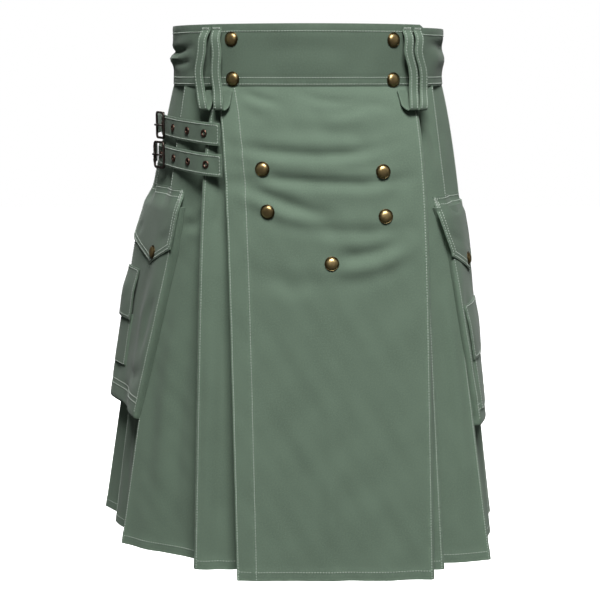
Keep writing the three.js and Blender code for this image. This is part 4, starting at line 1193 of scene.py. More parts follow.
class KILT_OT_pleats(bpy.types.Operator):
    """Makes the knife pleats of both sides, pressed along their stitched folds"""

    bl_idname = "kilt.pleats"
    bl_label = "Pleats"

    def execute(self, context):
        wall = settings().cloth_wall / MM
        for label, side in (("right", -1), ("left", 1)):
            folds = FOLDS[side]
            for i in range(1, len(folds) - 1):
                name = f"{label}_pleat_{i}"
                panel = pleat_panel(name, folds, side, i, i > 1 or side > 0)
                self.drape(panel, name, i * 7 + (100 if side > 0 else 0))
                arc, z = panel.arcs(), panel.grid[..., 2]
                turn = arc[:, panel.last : panel.last + 1]
                seam = 0.85 * near(arc - turn - 2, 3.2) + 0.7 * near(z - HEM, 2)
                seam += 0.5 * near(z - HEM - HEM_TURN, 2.5)
                thick = 0.55 + 0.35 * (z < HEM + HEM_TURN + 2)
                piece = cloth_piece(panel, wall * 1.8, seam, thick)
                declare(panel)
                PANELS[name] = panel
                high, spool = wall / 2 + 0.12, f"stitches_{label}_pleats"
                sew_fold(spool, panel, -35, high)
                sew_across(spool, panel, HEM_TURN, panel.first - 2, panel.last, high + 0.15)
        return {"FINISHED"}

    def drape(self, panel, name, seed):
        depth = settings().crease_depth
        arc, z = panel.arcs(), panel.grid[..., 2]
        t = share(z)
        width = arc[:, panel.last : panel.last + 1]
        s = np.clip(arc / width, 0, 1)
        face = np.sin(math.pi * s) ** 0.7 * (arc > 0) * (arc < width)
        lift = waves(arc, z, seed, 40, 110, 10) * 1.5 * smooth(t, 0.15, 1.0)
        lift += waves(arc, z, seed + 1, 22, 60, 70) * 0.25
        for line, wide, deep in PLEAT_CREASES.get(name) or self.usual_creases(seed):
            lift += crease(arc, z, line, wide, deep)
        lift -= 0.25 * near(z - HEM - HEM_TURN, 1.4)
        panel.push(lift * face * depth * smooth(-z, 33, 50))

    def usual_creases(self, seed):
        """Two soft hanging folds and a slanted wrinkle at the hip, uneven from pleat to pleat."""
        draw = np.random.RandomState(seed + 500)
        lines = []
        for share_across, deep in ((0.35, 1.3), (0.62, -1.1)):
            top = draw.uniform(-260, -180)
            low = draw.uniform(60, 90) * (share_across + draw.uniform(-0.08, 0.08))
            line = [(low * 0.45, top), (low * 0.75, (top + HEM) / 2), (low, HEM + 10)]
            lines.append((line, draw.uniform(9, 13), deep * draw.uniform(1.3, 1.9)))
        top = draw.uniform(-110, -70)
        lines.append(([(4, top), (26, top - draw.uniform(10, 24))], 6, draw.uniform(0.5, 1.0)))
        return lines


class KILT_OT_underlay(bpy.types.Operator):
    """Makes the cloth behind the inverted pleat at the centre back"""

    bl_idname = "kilt.underlay"
    bl_label = "Centre back underlay"

    def execute(self, context):
        panel = underlay_panel()
        x, z = panel.grid[..., 0], panel.grid[..., 2]
        seam = 0.6 * near(z - HEM, 2.5) + 0.5 * near(z - HEM - HEM_TURN, 2.5)
        lift = 0.3 * waves(x, z, 31, 50, 120, 10) * smooth(share(z), 0.3, 1)
        panel.push(lift - 0.25 * near(z - HEM - HEM_TURN, 1.4))
        wall = settings().cloth_wall / MM
        piece = cloth_piece(panel, wall, seam)
        declare(panel)
        sew_across("stitches_right_pleats", panel, HEM_TURN, 1, panel.last - 1, wall / 2 + 0.1)
        return {"FINISHED"}


def rounded(points, steps):
    """A smooth line through points in the plane or in space, with that many steps for each span."""
    points = [np.asarray(p, float) for p in points]
    points = [2 * points[0] - points[1], *points, 2 * points[-1] - points[-2]]
    line = []
    for k in range(1, len(points) - 2):
        a, b, c, d = points[k - 1 : k + 3]
        for u in np.linspace(0, 1, steps, endpoint=k == len(points) - 3):
            curved = (2 * a - 5 * b + 4 * c - d) * u**2 + (3 * b - a - 3 * c + d) * u**3
            line.append(0.5 * (2 * b + (c - a) * u + curved))
    return np.array(line)


def edge_columns(width, inner):
    """Places across a strip: close together at its two edges."""
    half = width / 2
    middle = np.linspace(-half + 2.4, half - 2.4, inner)
    return np.concatenate([[-half, -half + 0.5, -half + 1.4], middle, [half - 1.4, half - 0.5, half]])


class KILT_OT_belt_loops(bpy.types.Operator):
    """Makes the hanging belt loops, with a row of stitches along each edge"""

    bl_idname = "kilt.belt_loops"
    bl_label = "Belt loops"

    def execute(self, context):
        for name, (angles, back) in LOOPS.items():
            self.loop(f"belt_loop_{name}", angles, back)
        return {"FINISHED"}

    def angle_at(self, angles, z):
        k = max(next(i for i, height in enumerate(LOOP_HEIGHTS) if height <= z) - 1, 0)
        s = float(smooth(-z, -LOOP_HEIGHTS[k], -LOOP_HEIGHTS[k + 1]))
        return angles[k] + (angles[k + 1] - angles[k]) * s

    def loop(self, name, angles, back):
        reach = LOOP_WIDTH * degrees_per_mm(angles[0]) / 2
        on_front = BAND_FRONT["from"] - reach < angles[0] < BAND_FRONT["to"] + reach
        proud = BAND_FRONT["proud"] if on_front else BAND_BACK_PROUD
        heights = [z for _, z in LOOP_PROFILE]
        lowest = heights.index(min(heights))
        centres, runs, outs = [], [], []
        for k, (clear, z) in enumerate(LOOP_PROFILE):
            angle = back if k > lowest else self.angle_at(angles, z)
            base = waist_point(angle)
            along = unit(waist_point(angle + 0.5) - base)
            out = np.array([along[1], -along[0]])
            flare = max(BAND_BOTTOM - z, 0) * self.lean(angle, out)
            centres.append([*(base + out * (clear + proud + STRIP_WALL / 2 + flare)), z])
            runs.append([*along, 0])
            outs.append(np.array([*out, 0]))
        path, runs = rounded(centres, 6), rounded(runs, 6)
        across = edge_columns(LOOP_WIDTH, 4)
        grid = np.array([[p + unit(run) * w for w in across] for p, run in zip(path, runs)])
        out = outs[2]
        panel = Panel(name, grid, out=out)
        if panel.normals()[8, 4] @ out < 0:
            panel.turn = -panel.turn
        fading = smooth(20 - np.arange(len(path)), -30, 20)[:, None]
        panel.push(0.3 * np.cos(math.pi * across / LOOP_WIDTH)[None, :] * fading)
        worn = 0.9 * near(abs(across) - LOOP_WIDTH / 2, 1.4)[None, :] + np.zeros((len(path), 1))
        thick = 0.6 + 0.4 * smooth(LOOP_WIDTH / 2 - abs(across), 0, 1.3)
        thick = np.broadcast_to(thick, grid.shape[:2])
        piece = cloth_piece(panel, LOOP_WALL, worn, thick, "sage_tape")
        declare(panel)
        rows = np.linspace(0.5, 6 * lowest - 2, len(path) * 3)
        lift = LOOP_WALL / 2 + 0.05
        for w in (-LOOP_WIDTH / 2 + 2.3, LOOP_WIDTH / 2 - 2.3):
            column = np.interp(w, across, np.arange(len(across)))
            sew_column("stitches_belt_loops", panel, rows, column, lift)
        columns = np.linspace(1.5, len(across) - 2.5, 24)
        for row in (1.2, 2.4, 4.0):
            sew_row("stitches_belt_loops", panel, row, columns, lift, pitch=1.5, length=1.4)

    def lean(self, angle, out):
        """How far the skirt leans out for each millimetre down, just under the band."""
        drop = 0.05
        t = np.array([drop])
        shift = (angle - APRON_FREE_EDGE["angle"]) / (APRON_FOLD["angle"] - APRON_FREE_EDGE["angle"])
        if 0 <= shift <= 1:
            low = apron_line(shift, t)[0]
        else:
            folds = FOLDS[1 if angle > 0 else -1]
            k = next(i for i, fold in enumerate(folds) if fold["angle"] > abs(angle))
            a, b = folds[k - 1], folds[k]
            s = (abs(angle) - a["angle"]) / (b["angle"] - a["angle"])
            swing = a["swing"] + (b["swing"] - a["swing"]) * s
            low = hang(waist_point(angle), a["hem"] + (b["hem"] - a["hem"]) * s, t, swing)[0]
        return LOOP_LEAN * (low - waist_point(angle)) @ out / (drop * (BAND_BOTTOM - HEM))


class KILT_OT_straps(bpy.types.Operator):
    """Makes the closing straps at the right hip and the tabs that hold their buckles"""

    bl_idname = "kilt.straps"
    bl_label = "Straps"

    def execute(self, context):
        for strap in STRAPS:
            reach = np.linspace(STRAP_START, STRAP_END, 64)
            out_by = STRAP_OUT + 0.25 * np.sin(reach / 9)
            nose = 3.5 * smooth(reach, STRAP_END - 6, STRAP_END)
            self.strip(f"strap_{strap}", strap, reach, out_by, STRAP_WIDTH, nose)
            reach = np.linspace(TAB["start"], TAB["end"], 20)
            s = np.clip(1.6 * (reach - TAB["start"]) / (TAB["end"] - TAB["start"]), 0, 1)
            rise = BUCKLE["out"] + TAB["rise"]
            out_by = rise + (TAB["out"][strap] - rise) * s
            self.strip(f"buckle_tab_{strap}", strap, reach, out_by, TAB["width"], reach * 0)
        return {"FINISHED"}

    def strip(self, node, strap, reach, out_by, width, nose):
        across = edge_columns(width, 8)
        grid = []
        for distance, out, narrow in zip(reach, out_by, nose):
            point, _, outward = strap_station(strap, distance, out)
            squeeze = (width / 2 - narrow) / (width / 2)
            grid.append([point + np.array([0, 0, w * squeeze]) for w in across])
        middle = strap_station(strap, float(reach[len(reach) // 2]), 0)[2]
        panel = Panel(node, np.array(grid), out=middle)
        shape = panel.grid.shape[:2]
        panel.push(0.18 * waves(np.broadcast_to(reach[:, None], shape), panel.grid[..., 2], 41, 12, 40, 40))
        edge = np.broadcast_to(abs(across)[None, :] - width / 2, shape)
        ends = np.minimum(reach - reach[0], reach[-1] - reach)[:, None]
        seam = 0.9 * near(edge, 1.6) + 0.6 * near(edge + 3, 1.6) + 0.8 * near(ends, 1.6)
        thick = 0.6 + 0.4 * smooth(-edge, 0, 1.4) - 0.15 * near(edge + 2.6, 1.0)
        piece = cloth_piece(panel, TAPE_WALL, seam, thick, "sage_tape")
        declare(panel)
        lift = TAPE_WALL / 2 + 0.03
        rows = np.linspace(1, len(reach) - 2, len(reach) * 3)
        for w in (-width / 2 + 2.6, width / 2 - 2.6):
            column = np.interp(w, across, np.arange(len(across)))
            sew_column("stitches_straps", panel, rows, column, lift)
        columns = np.linspace(2.6, len(across) - 3.6, 40)
        for row in (1.0, len(reach) - 2.2):
            sew_row("stitches_straps", panel, row, columns, lift)


def select_where(mesh_object, test, kind="FACE"):
    """In edit mode, selects what passes a test on its middle and its direction."""
    work = bmesh.from_edit_mesh(mesh_object.data)
    for item in (*work.verts, *work.edges, *work.faces):
        item.select = False
    if kind == "FACE":
        for face in work.faces:
            face.select_set(test(face.calc_center_median(), face.normal))
    else:
        for edge in work.edges:
            start, end = (vert.co for vert in edge.verts)
            edge.select_set(test((start + end) / 2, end - start))
    bmesh.update_edit_mesh(mesh_object.data)


def worn_by_height(piece, low, high):
    """Marks how much each point is rubbed, by its height over the cloth."""
    values = [min(max((v.co.z - low) / (high - low), 0), 1) for v in piece.data.vertices]
    piece.data.attributes.new("worn", "FLOAT", "POINT").data.foreach_set("value", values)


def place_copy(model, name, point, along, out):
    """A copy of a small part that was modelled flat, set down with its own +Z out and +X along."""
    copy = model.copy()
    copy.data = model.data.copy()
    copy.name = name
    bpy.context.scene.collection.objects.link(copy)
    out = unit(np.asarray(out, float))
    along = unit(np.asarray(along, float) - out * (np.asarray(along, float) @ out))
    across = np.cross(out, along)
    turned = Matrix(np.column_stack([along, across, out]).tolist())
    copy.data.transform(Matrix.Translation(Vector(np.asarray(point) * MM)) @ turned.to_4x4())
    return copy


# A snap's face from its rim to its crown: how far each step goes in, and up
SNAP_RISES = [
    (0.55, 0.0), (0.35, -0.22), (0.3, 0.3), (0.5, 0.75), (0.7, 0.62), (0.9, 0.5), (1.1, 0.35), (1.2, 0.2),
]


def snap_model():
    """A domed press snap: a flat rim, a groove and a crowned cap."""
    deselect_all()
    bpy.ops.mesh.primitive_cylinder_add(
        vertices=40, radius=SNAP_RADIUS * MM, depth=SNAP_RIM * MM, location=(0, 0, SNAP_RIM / 2 * MM)
    )
    snap = bpy.context.active_object
    bpy.ops.object.transform_apply(location=True, rotation=True, scale=True)
    bpy.ops.object.mode_set(mode="EDIT")
    bpy.ops.mesh.select_mode(type="FACE")
    select_where(snap, lambda centre, normal: normal.z > 0.9)
    for inset, rise in SNAP_RISES:
        bpy.ops.mesh.inset(thickness=inset * MM, depth=0)
        bpy.ops.transform.translate(value=(0, 0, rise * MM))
    bpy.ops.mesh.poke()
    bpy.ops.mesh.select_mode(type="EDGE")
    rim = SNAP_RADIUS * MM * 0.985
    select_where(snap, lambda centre, run: math.hypot(centre.x, centre.y) > rim and abs(run.z) < 1e-6, "EDGE")
    bpy.ops.mesh.bevel(offset=0.22 * MM, segments=2)
    bpy.ops.object.mode_set(mode="OBJECT")
    bpy.ops.object.shade_smooth_by_angle(angle=math.radians(50))
    worn_by_height(snap, 0.4 * MM, 3.0 * MM)
    return snap


class KILT_OT_snaps(bpy.types.Operator):
    """Sets the brass snaps on the waistband, the apron and the pocket flaps"""

    bl_idname = "kilt.snaps"
    bl_label = "Snaps"

    def execute(self, context):
        model = snap_model()
        panel = PANELS["waistband_front"]
        start, end = BAND_FRONT["from"], BAND_FRONT["to"]
        for name, (x, z) in BAND_SNAPS.items():
            angle = math.degrees(math.asin(x / (WAIST[0] + BAND_FRONT["proud"])))
            column = (angle - start) / (end - start) * (panel.grid.shape[1] - 1)
            point, out = panel.at(panel.row_at(z), column, BAND_WALL / 2)
            self.set(model, f"snap_band_{name}", point, out)
        panel = PANELS["over_apron"]
        for name, (x, z) in APRON_SNAPS.items():
            row = float(panel.row_at(z))
            across = panel.at(np.full(panel.last + 1, row), np.arange(panel.last + 1))[0][:, 0]
            column = np.interp(x, across, np.arange(panel.last + 1))
            point, out = panel.at(row, column, settings().cloth_wall / MM / 2)
            self.set(model, f"snap_apron_{name}", point, out)
        for label, side in (("right", -1), ("left", 1)):
            panel = PANELS[f"{label}_pocket_flap"]
            z = POCKETS[side]["top"] - FLAP_TIP_DROP + FLAP_SNAP_UP
            across = panel.arcs()[-1]
            column = np.interp(FLAP_TIP_SHARE * across[-1], across, np.arange(len(across)))
            heights = panel.grid[:, int(round(column)), 2]
            row = np.interp(-z, -heights, np.arange(len(heights)))
            point, out = panel.at(row, column, TAPE_WALL / 2)
            self.set(model, f"snap_{label}_pocket", point, out)
        bpy.data.objects.remove(model)
        return {"FINISHED"}

    def set(self, model, node, point, out):
        piece = place_copy(model, node, point + out * 0.05, np.cross(out, (0, 0, 1)), out)
        settle(piece, [node], "antique_brass")


class KILT_OT_buckles(bpy.types.Operator):
    """Makes the two rectangular buckles with their prongs"""

    bl_idname = "kilt.buckles"
    bl_label = "Buckles"

    def execute(self, context):
        frame_model = self.frame_model()
        prong_model = self.prong_model()
        middle = (BUCKLE["front"] + BUCKLE["back"]) / 2
        for strap in STRAPS:
            point, flat, proud = strap_station(strap, middle, BUCKLE["out"])
            turn = math.radians(BUCKLE["tilt"])
            along = flat * math.cos(turn) + proud * math.sin(turn)
            out = proud * math.cos(turn) - flat * math.sin(turn)
            piece = place_copy(frame_model, f"buckle_frame_{strap}", point, along, out)
            settle(piece, [f"buckle_frame_{strap}"], "dark_bronze")
            piece = place_copy(prong_model, f"buckle_prong_{strap}", point, along, out)
            settle(piece, [f"buckle_prong_{strap}"], "dark_bronze")
        bpy.data.objects.remove(frame_model)
        bpy.data.objects.remove(prong_model)
        return {"FINISHED"}

    def frame_model(self):
        """A rounded rectangular frame, inset and extruded from a plate and bevelled."""
        deselect_all()
        half = (BUCKLE["back"] - BUCKLE["front"]) / 2 + BUCKLE["wire"]
        tall = BUCKLE["half_height"] + BUCKLE["wire"]
        bpy.ops.mesh.primitive_plane_add(size=2, location=(0, 0, 0))
        piece = bpy.context.active_object
        piece.scale = (half * MM, tall * MM, 1)
        bpy.ops.object.transform_apply(location=True, rotation=True, scale=True)
        bpy.ops.object.mode_set(mode="EDIT")
        bpy.ops.mesh.select_all(action="SELECT")
        bpy.ops.mesh.bevel(offset=BUCKLE["corner"] * MM, segments=6, affect="VERTICES")
        bpy.ops.mesh.select_mode(type="FACE")
        bpy.ops.mesh.select_all(action="SELECT")
        bpy.ops.mesh.inset(thickness=2 * BUCKLE["wire"] * MM, depth=0)
        bpy.ops.mesh.delete(type="FACE")
        bpy.ops.object.mode_set(mode="OBJECT")
        wall = piece.modifiers.new("wall", "SOLIDIFY")
        wall.thickness, wall.offset = 2 * BUCKLE["wire"] * 0.86 * MM, 0
        bevel = piece.modifiers.new("edge", "BEVEL")
        bevel.width, bevel.segments, bevel.angle_limit = BUCKLE["wire"] * 0.66 * MM, 4, math.radians(40)
        apply_all(piece)
        bpy.ops.object.shade_smooth_by_angle(angle=math.radians(60))
        worn_by_height(piece, -BUCKLE["wire"] * MM, BUCKLE["wire"] * MM)
        return piece

    def prong_model(self):
        """A round prong, hooked over one side of the frame and resting across it."""
        half = (BUCKLE["back"] - BUCKLE["front"]) / 2
        wire = BUCKLE["wire"]
        path = [
            (half + 0.2, 0, 2.4), (half - 2.6, 0, 1.7), (half * 0.3, 0, 1.3), (-half * 0.5, 0, 2.0),
            (-half + wire, 0, 2.6), (-half - 1.6, 0, 2.5),
        ]
        points = rounded(path, 6)
        data = bpy.data.curves.new("prong", "CURVE")
        data.dimensions = "3D"
        spline = data.splines.new("POLY")
        spline.points.add(len(points) - 1)
        for k, p in enumerate(points):
            spline.points[k].co = (*(p * MM), 1)
            spline.points[k].radius = 1.0 if k < len(points) - 8 else 1.0 - 0.05 * (k - len(points) + 8)
        data.bevel_depth, data.bevel_resolution, data.use_fill_caps = 1.15 * MM, 4, True
        piece = bpy.data.objects.new("prong", data)
        bpy.context.scene.collection.objects.link(piece)
        activate(piece)
        bpy.ops.object.convert(target="MESH")
        piece = bpy.context.active_object
        bpy.ops.object.shade_smooth_by_angle(angle=math.radians(60))
        worn_by_height(piece, 0.5 * MM, 3.6 * MM)
        return piece


class KILT_OT_eyelets(bpy.types.Operator):
    """Sets a rolled eyelet in each hole of the straps, with a dark disc of painted shade showing through its
    hole
    """

    bl_idname = "kilt.eyelets"
    bl_label = "Eyelets"

    def execute(self, context):
        deselect_all()
        bpy.ops.mesh.primitive_torus_add(
            major_radius=3.1 * MM, minor_radius=1.5 * MM, major_segments=28, minor_segments=10
        )
        model = context.active_object
        bpy.ops.object.mode_set(mode="EDIT")
        bpy.ops.mesh.select_mode(type="FACE")
        select_where(model, lambda centre, normal: centre.z < -0.2 * MM)
        bpy.ops.transform.resize(value=(0.94, 0.94, 0.6))
        select_where(model, lambda centre, normal: centre.z > -1)
        bpy.ops.transform.resize(value=(1, 1, 0.85))
        bpy.ops.object.mode_set(mode="OBJECT")
        bpy.ops.object.shade_smooth_by_angle(angle=math.radians(60))
        worn_by_height(model, -0.2 * MM, 0.9 * MM)
        # A dark dished disc beneath each eyelet, seen through its hole: painted shade where the hole looks onto
        # shaded cloth
        deselect_all()
        bpy.ops.mesh.primitive_cylinder_add(
            vertices=24, radius=2.6 * MM, depth=0.5 * MM, location=(0, 0, 0.1 * MM)
        )
        shadow = context.active_object
        bpy.ops.object.transform_apply(location=True, rotation=True, scale=True)
        bpy.ops.object.mode_set(mode="EDIT")
        bpy.ops.mesh.select_mode(type="FACE")
        select_where(shadow, lambda centre, normal: normal.z > 0.9)
        bpy.ops.mesh.inset(thickness=0.6 * MM, depth=-0.3 * MM)
        bpy.ops.object.mode_set(mode="OBJECT")
        worn_by_height(shadow, 1, 2)
        for strap in STRAPS:
            for k, distance in enumerate(STRAP_HOLES):
                point, along, out = strap_station(strap, distance, STRAP_OUT + STRIP_WALL / 2 + 0.25)
                piece = place_copy(model, f"eyelet_{strap}_{k + 1}", point, along, out)
                settle(piece, [], "dark_copper")
                # The disc of painted shade inside the eyelet
                piece = place_copy(shadow, f"eyelet_painted_shade_{strap}_{k + 1}", point, along, out)
                settle(piece, [], "painted_hole_shade")
        bpy.data.objects.remove(model)
        bpy.data.objects.remove(shadow)
        return {"FINISHED"}


# Creases on the pocket bags, as the distance from the front edge and height, with a width and a depth
BAG_CREASES = [
    ([(14, -268), (24, -300), (22, -350)], 9, 2.24),
    ([(36, -270), (40, -330), (34, -400)], 10, -0.6),
    ([(100, -300), (108, -360), (100, -405)], 9, 1.96),
    ([(8, -360), (30, -376), (60, -372)], 9, 1.68),
]


# How far a pocket's cloth has risen at distances from its edge
BAG_RISE = [(0, 0), (0.0, 0.3), (0.1, 0.6), (0.8, 0.86), (2.2, 0.97), (4.5, 1)]
SMALL_BAG_RISE = [(0, 0), (0.1, 0.5), (0.8, 0.85), (2.6, 1)]
BAG_ROWS, SMALL_BAG_ROWS, SMALL_FLAP_ROWS = 60, 24, 20
BAG_SEAMS = (POCKET_BOTTOM + 20, POCKET_BOTTOM + 26)
# A flap's rows of stitches in from its edges and below its top, and the width of its corner bars
FLAP_STITCHES, FLAP_TOP_STITCHES, FLAP_BAR = (2.6, 7.5), (2.4, 9.0), 7.2
POCKET_THREAD = "stitches_pockets"


def risen(rise, width, count):
    """Places across a pocket, close together at its edges, and how far the cloth has risen at each."""
    inner = list(np.linspace(rise[-1][0], width - rise[-1][0], count)[1:-1])
    alongs = [a for a, _ in rise] + inner + [width - a for a, _ in rise[::-1]]
    return np.array(alongs), np.array([f for _, f in rise] + [1] * len(inner) + [f for _, f in rise[::-1]])


class KILT_OT_pockets(bpy.types.Operator):
    """Makes the cargo pockets with their pointed flaps and the small pocket on each"""

    bl_idname = "kilt.pockets"
    bl_label = "Pockets"

    def execute(self, context):
        self.hips, self.under = {}, {}
        for label, side in (("right", -1), ("left", 1)):
            self.cloth_beneath(label, side)
            self.bag(label, side)
            self.flap(label, side)
            self.small_pocket(label, side)
        return {"FINISHED"}

    def cloth_beneath(self, label, side):
        """The outer faces of one side's pleats, to lay a pocket on."""
        corners, faces = [], []
        for i in range(1, 5):
            panel = PANELS[f"{label}_pleat_{i}"]
            grid = panel.grid[:, panel.first : panel.last + 6]
            rows, columns = grid.shape[:2]
            index = np.arange(rows * columns).reshape(rows, columns) + len(corners)
            corners += [tuple(p) for p in grid.reshape(-1, 3)]
            quads = np.stack([index[:-1, :-1], index[:-1, 1:], index[1:, 1:], index[1:, :-1]], axis=-1)
            faces += quads.reshape(-1, 4).tolist()
        self.under[side] = BVHTree.FromPolygons(corners, faces)

    def station(self, side, z, along, out_by=0.0):
        """A point on a pocket, from its front edge, and how far out the pleats lie there."""
        key = (side, round(float(z), 3))
        if key not in self.hips:
            self.hips[key] = HipLine(side, z)
        hip = self.hips[key]
        point, _, out = hip.station(pocket_front(hip) + along, out_by)
        return point, out

    def cloth_out(self, side, z, along):
        point, out = self.station(side, z, along)
        reach = 30.0
        found = self.under[side].ray_cast(Vector(point + out * reach), Vector(-out))[3]
        return 0.0 if found is None else max(reach - found, -14.0) + settings().cloth_wall / MM / 2

    def lay(self, side, heights, alongs, outs):
        """Points over the hip: alongs from the pocket's front edge and outs for each height and column."""
        return np.array([
            [self.station(side, z, a, o)[0] for a, o in zip(row_alongs, row_outs)]
            for z, row_alongs, row_outs in zip(heights, alongs, outs)
        ])

    def bag(self, label, side):
        name = f"{label}_pocket_bag"
        alongs, rises = risen(BAG_RISE, POCKET_WIDTH, 30)
        low = BAG_RISE[-2::-1]
        face = np.linspace(BAG_TOP, POCKET_BOTTOM + BAG_RISE[-1][0], BAG_ROWS)
        heights = np.array([*face, *(POCKET_BOTTOM + a for a, _ in low)])
        drops = np.array([1.0] * BAG_ROWS + [f for _, f in low])
        depth = bag_depth(side, heights[:, None], alongs[None, :])
        sag = smooth(-heights, 300, 400) * 1.5
        rise = rises[None, :] * drops[:, None]
        base = np.zeros(depth.shape)
        for r, c in zip(*np.nonzero(rise < 1)):
            base[r, c] = min(self.cloth_out(side, heights[r], alongs[c]) + 0.4, POCKET_OUT)
        outs = base + (POCKET_OUT + depth + sag[:, None] - base) * rise
        # Rows that share a height are parted a little, so that every row has its own
        heights = heights - 1e-3 * np.arange(len(heights))
        grid = self.lay(side, heights, np.broadcast_to(alongs, outs.shape), outs)
        panel = Panel(name, grid, 5, len(alongs) - 6)
        a = np.broadcast_to(alongs[None, :], outs.shape)
        z = grid[..., 2]
        lift = 0.5 * waves(a, z, 61 + side, 30, 90, 50)
        for line, width, deep in BAG_CREASES:
            lift += crease(a, z, line, width, deep)
        for edge in (6, POCKET_WIDTH - 6):
            lift -= 0.3 * near(a - edge, 1.4)
        for height in BAG_SEAMS:
            lift -= 0.3 * near(z - height, 1.4)
        panel.push(lift * rise)
        rim = np.minimum(a, POCKET_WIDTH - a)
        seam = (0.5 * near(rim - 2.4, 1.8) + 0.5 * near(z - POCKET_BOTTOM - 4, 3)) * rise
        piece = cloth_piece(panel, BAG_WALL, seam)
        declare(panel)
        lift = BAG_WALL / 2 + 0.1
        columns = np.arange(len(alongs))
        rows = np.linspace(2, BAG_ROWS - 2, 200)
        for edge in (2.4, POCKET_WIDTH - 2.4):
            sew_column(POCKET_THREAD, panel, rows, np.interp(edge, alongs, columns), lift)
        across = np.linspace(*np.interp((3, POCKET_WIDTH - 3), alongs, columns), 160)
        for height in BAG_SEAMS:
            row = np.interp(-height, -heights, np.arange(len(heights)))
            sew_row(POCKET_THREAD, panel, row, across, lift)

    def flap(self, label, side):
        name = f"{label}_pocket_flap"
        top = POCKETS[side]["top"]
        width = POCKET_WIDTH + 2 * FLAP_MARGIN
        down = np.concatenate([np.linspace(0, 0.94, 30), [0.97, 0.985, 1]])
        ahead = np.concatenate([[0, 0.006, 0.016], np.linspace(0.035, FLAP_TIP_SHARE, 16)])
        behind = np.linspace(FLAP_TIP_SHARE, 0.965, 26)[1:]
        across = np.concatenate([ahead, behind, [0.984, 0.994, 1]])
        to_tip = np.where(across < FLAP_TIP_SHARE, across / FLAP_TIP_SHARE, (1 - across) / (1 - FLAP_TIP_SHARE))
        drop = FLAP_CORNER_DROP + (FLAP_TIP_DROP - FLAP_CORNER_DROP) * to_tip
        alongs = width * across - FLAP_MARGIN
        seated = np.array([self.cloth_out(side, top, along) for along in alongs])
        seated = np.convolve(np.pad(seated, 3, mode="edge"), np.ones(7) / 7, mode="valid")
        seated = seated + STRIP_WALL / 2 + 0.6
        grid = []
        for r in down:
            row = []
            for along, fall, seat in zip(alongs, drop, seated):
                z = top - r * fall
                free = FLAP_CLEAR + STRIP_WALL / 2 + lid_out(side, z, along)
                drawn_in = max(free - seat, 0) * (1 - float(smooth(r * fall, 2, 26)))
                row.append(self.station(side, z, along + drawn_in, free - drawn_in)[0])
            grid.append(row)
        panel = Panel(name, np.array(grid))
        z = panel.grid[..., 2]
        a = np.broadcast_to(across[None, :] * width, z.shape)
        free = smooth(np.broadcast_to(down[:, None], z.shape), 0.15, 0.6)
        lift = 0.35 * waves(a, z, 71 + side, 25, 70, 50) * free
        lift += crease(a, z, [(6, -196), (20, -206), (34, -206)], 6, 0.9)
        lift += crease(a, z, [(96, -196), (112, -206)], 6, 0.8)
        panel.push(lift)
        rim = np.minimum(a, width - a)
        low = (1 - down[:, None]) * drop[None, :]
        seam = 0.9 * near(rim, 2) + 0.9 * near(low, 2) + 0.6 * near(rim - 5, 2) + 0.5 * near(low - 5, 2)
        thick = 0.6 + 0.4 * smooth(np.minimum(rim, low), 0, 1.6) - 0.12 * near(rim - 4, 1.2)
        piece = cloth_piece(panel, TAPE_WALL, seam, thick, "sage_tape")
        declare(panel)
        PANELS[name] = panel
        lift = TAPE_WALL / 2 + 0.03
        index_across, index_down = np.arange(len(across)), np.arange(len(down))
        columns = np.interp(np.linspace(3 / width, 1 - 3 / width, 160), across, index_across)
        fall = np.interp(columns, index_across, drop)
        for margin in FLAP_STITCHES:
            rows = np.linspace(1, np.interp(1 - margin / 82, down, index_down), 80)
            for column in np.interp((margin / width, 1 - margin / width), across, index_across):
                sew_column(POCKET_THREAD, panel, rows, column, lift)
            edge = slice(int(margin), len(columns) - int(margin))
            rows = np.interp(1 - margin / fall, down, index_down)
            thread(POCKET_THREAD).sew(*panel.at(rows[edge], columns[edge], lift))
        for below in FLAP_TOP_STITCHES:
            rows = np.interp(below / fall, down, index_down)
            thread(POCKET_THREAD).sew(*panel.at(rows, columns, lift))
        for start in (1.2, width - 1.2 - FLAP_BAR):
            bar = np.interp(np.linspace(start, start + FLAP_BAR, 8) / width, across, index_across)
            for below in np.arange(1.5, 13.6, 1.5):
                row = np.interp(below / FLAP_CORNER_DROP, down, index_down)
                sew_row(POCKET_THREAD, panel, row, bar, lift + 0.1, pitch=3.2, length=3.0)

    def small_pocket(self, label, side):
        start, end, top, away = POCKETS[side]["small"]
        size = SMALL_POCKET
        width = end - start
        low, bag_top, bottom = top - size["flap"], top - size["bag"][0], top - size["bag"][1]
        alongs, rises = risen(SMALL_BAG_RISE, width, 16)
        heights = np.concatenate([np.linspace(bag_top, bottom + 3, SMALL_BAG_ROWS), [bottom + 0.8, bottom]])
        drops = np.concatenate([np.ones(SMALL_BAG_ROWS), [0.7, 0.05]])
        base = POCKET_OUT + bag_depth(side, heights[:, None], alongs[None, :] + start) + size["gap"]
        outs = base + (size["depth"] + 0.6) * rises[None, :] * drops[:, None]
        grid = self.lay(side, heights, np.broadcast_to(alongs + start, outs.shape), outs)
        panel = Panel(f"{label}_small_pocket", grid)
        rim = np.broadcast_to(np.minimum(alongs, width - alongs), outs.shape)
        piece = cloth_piece(panel, SMALL_BAG_WALL, 0.6 * near(rim - 2, 2))
        declare(panel)
        lift = SMALL_BAG_WALL / 2 + 0.1
        ends = np.interp((3.2, width - 3.2), alongs, np.arange(len(alongs)))
        for column in ends:
            sew_column(POCKET_THREAD, panel, np.linspace(0, SMALL_BAG_ROWS - 0.6, 60), column, lift)
        sew_row(POCKET_THREAD, panel, SMALL_BAG_ROWS - 0.8, np.linspace(*ends, 60), lift)

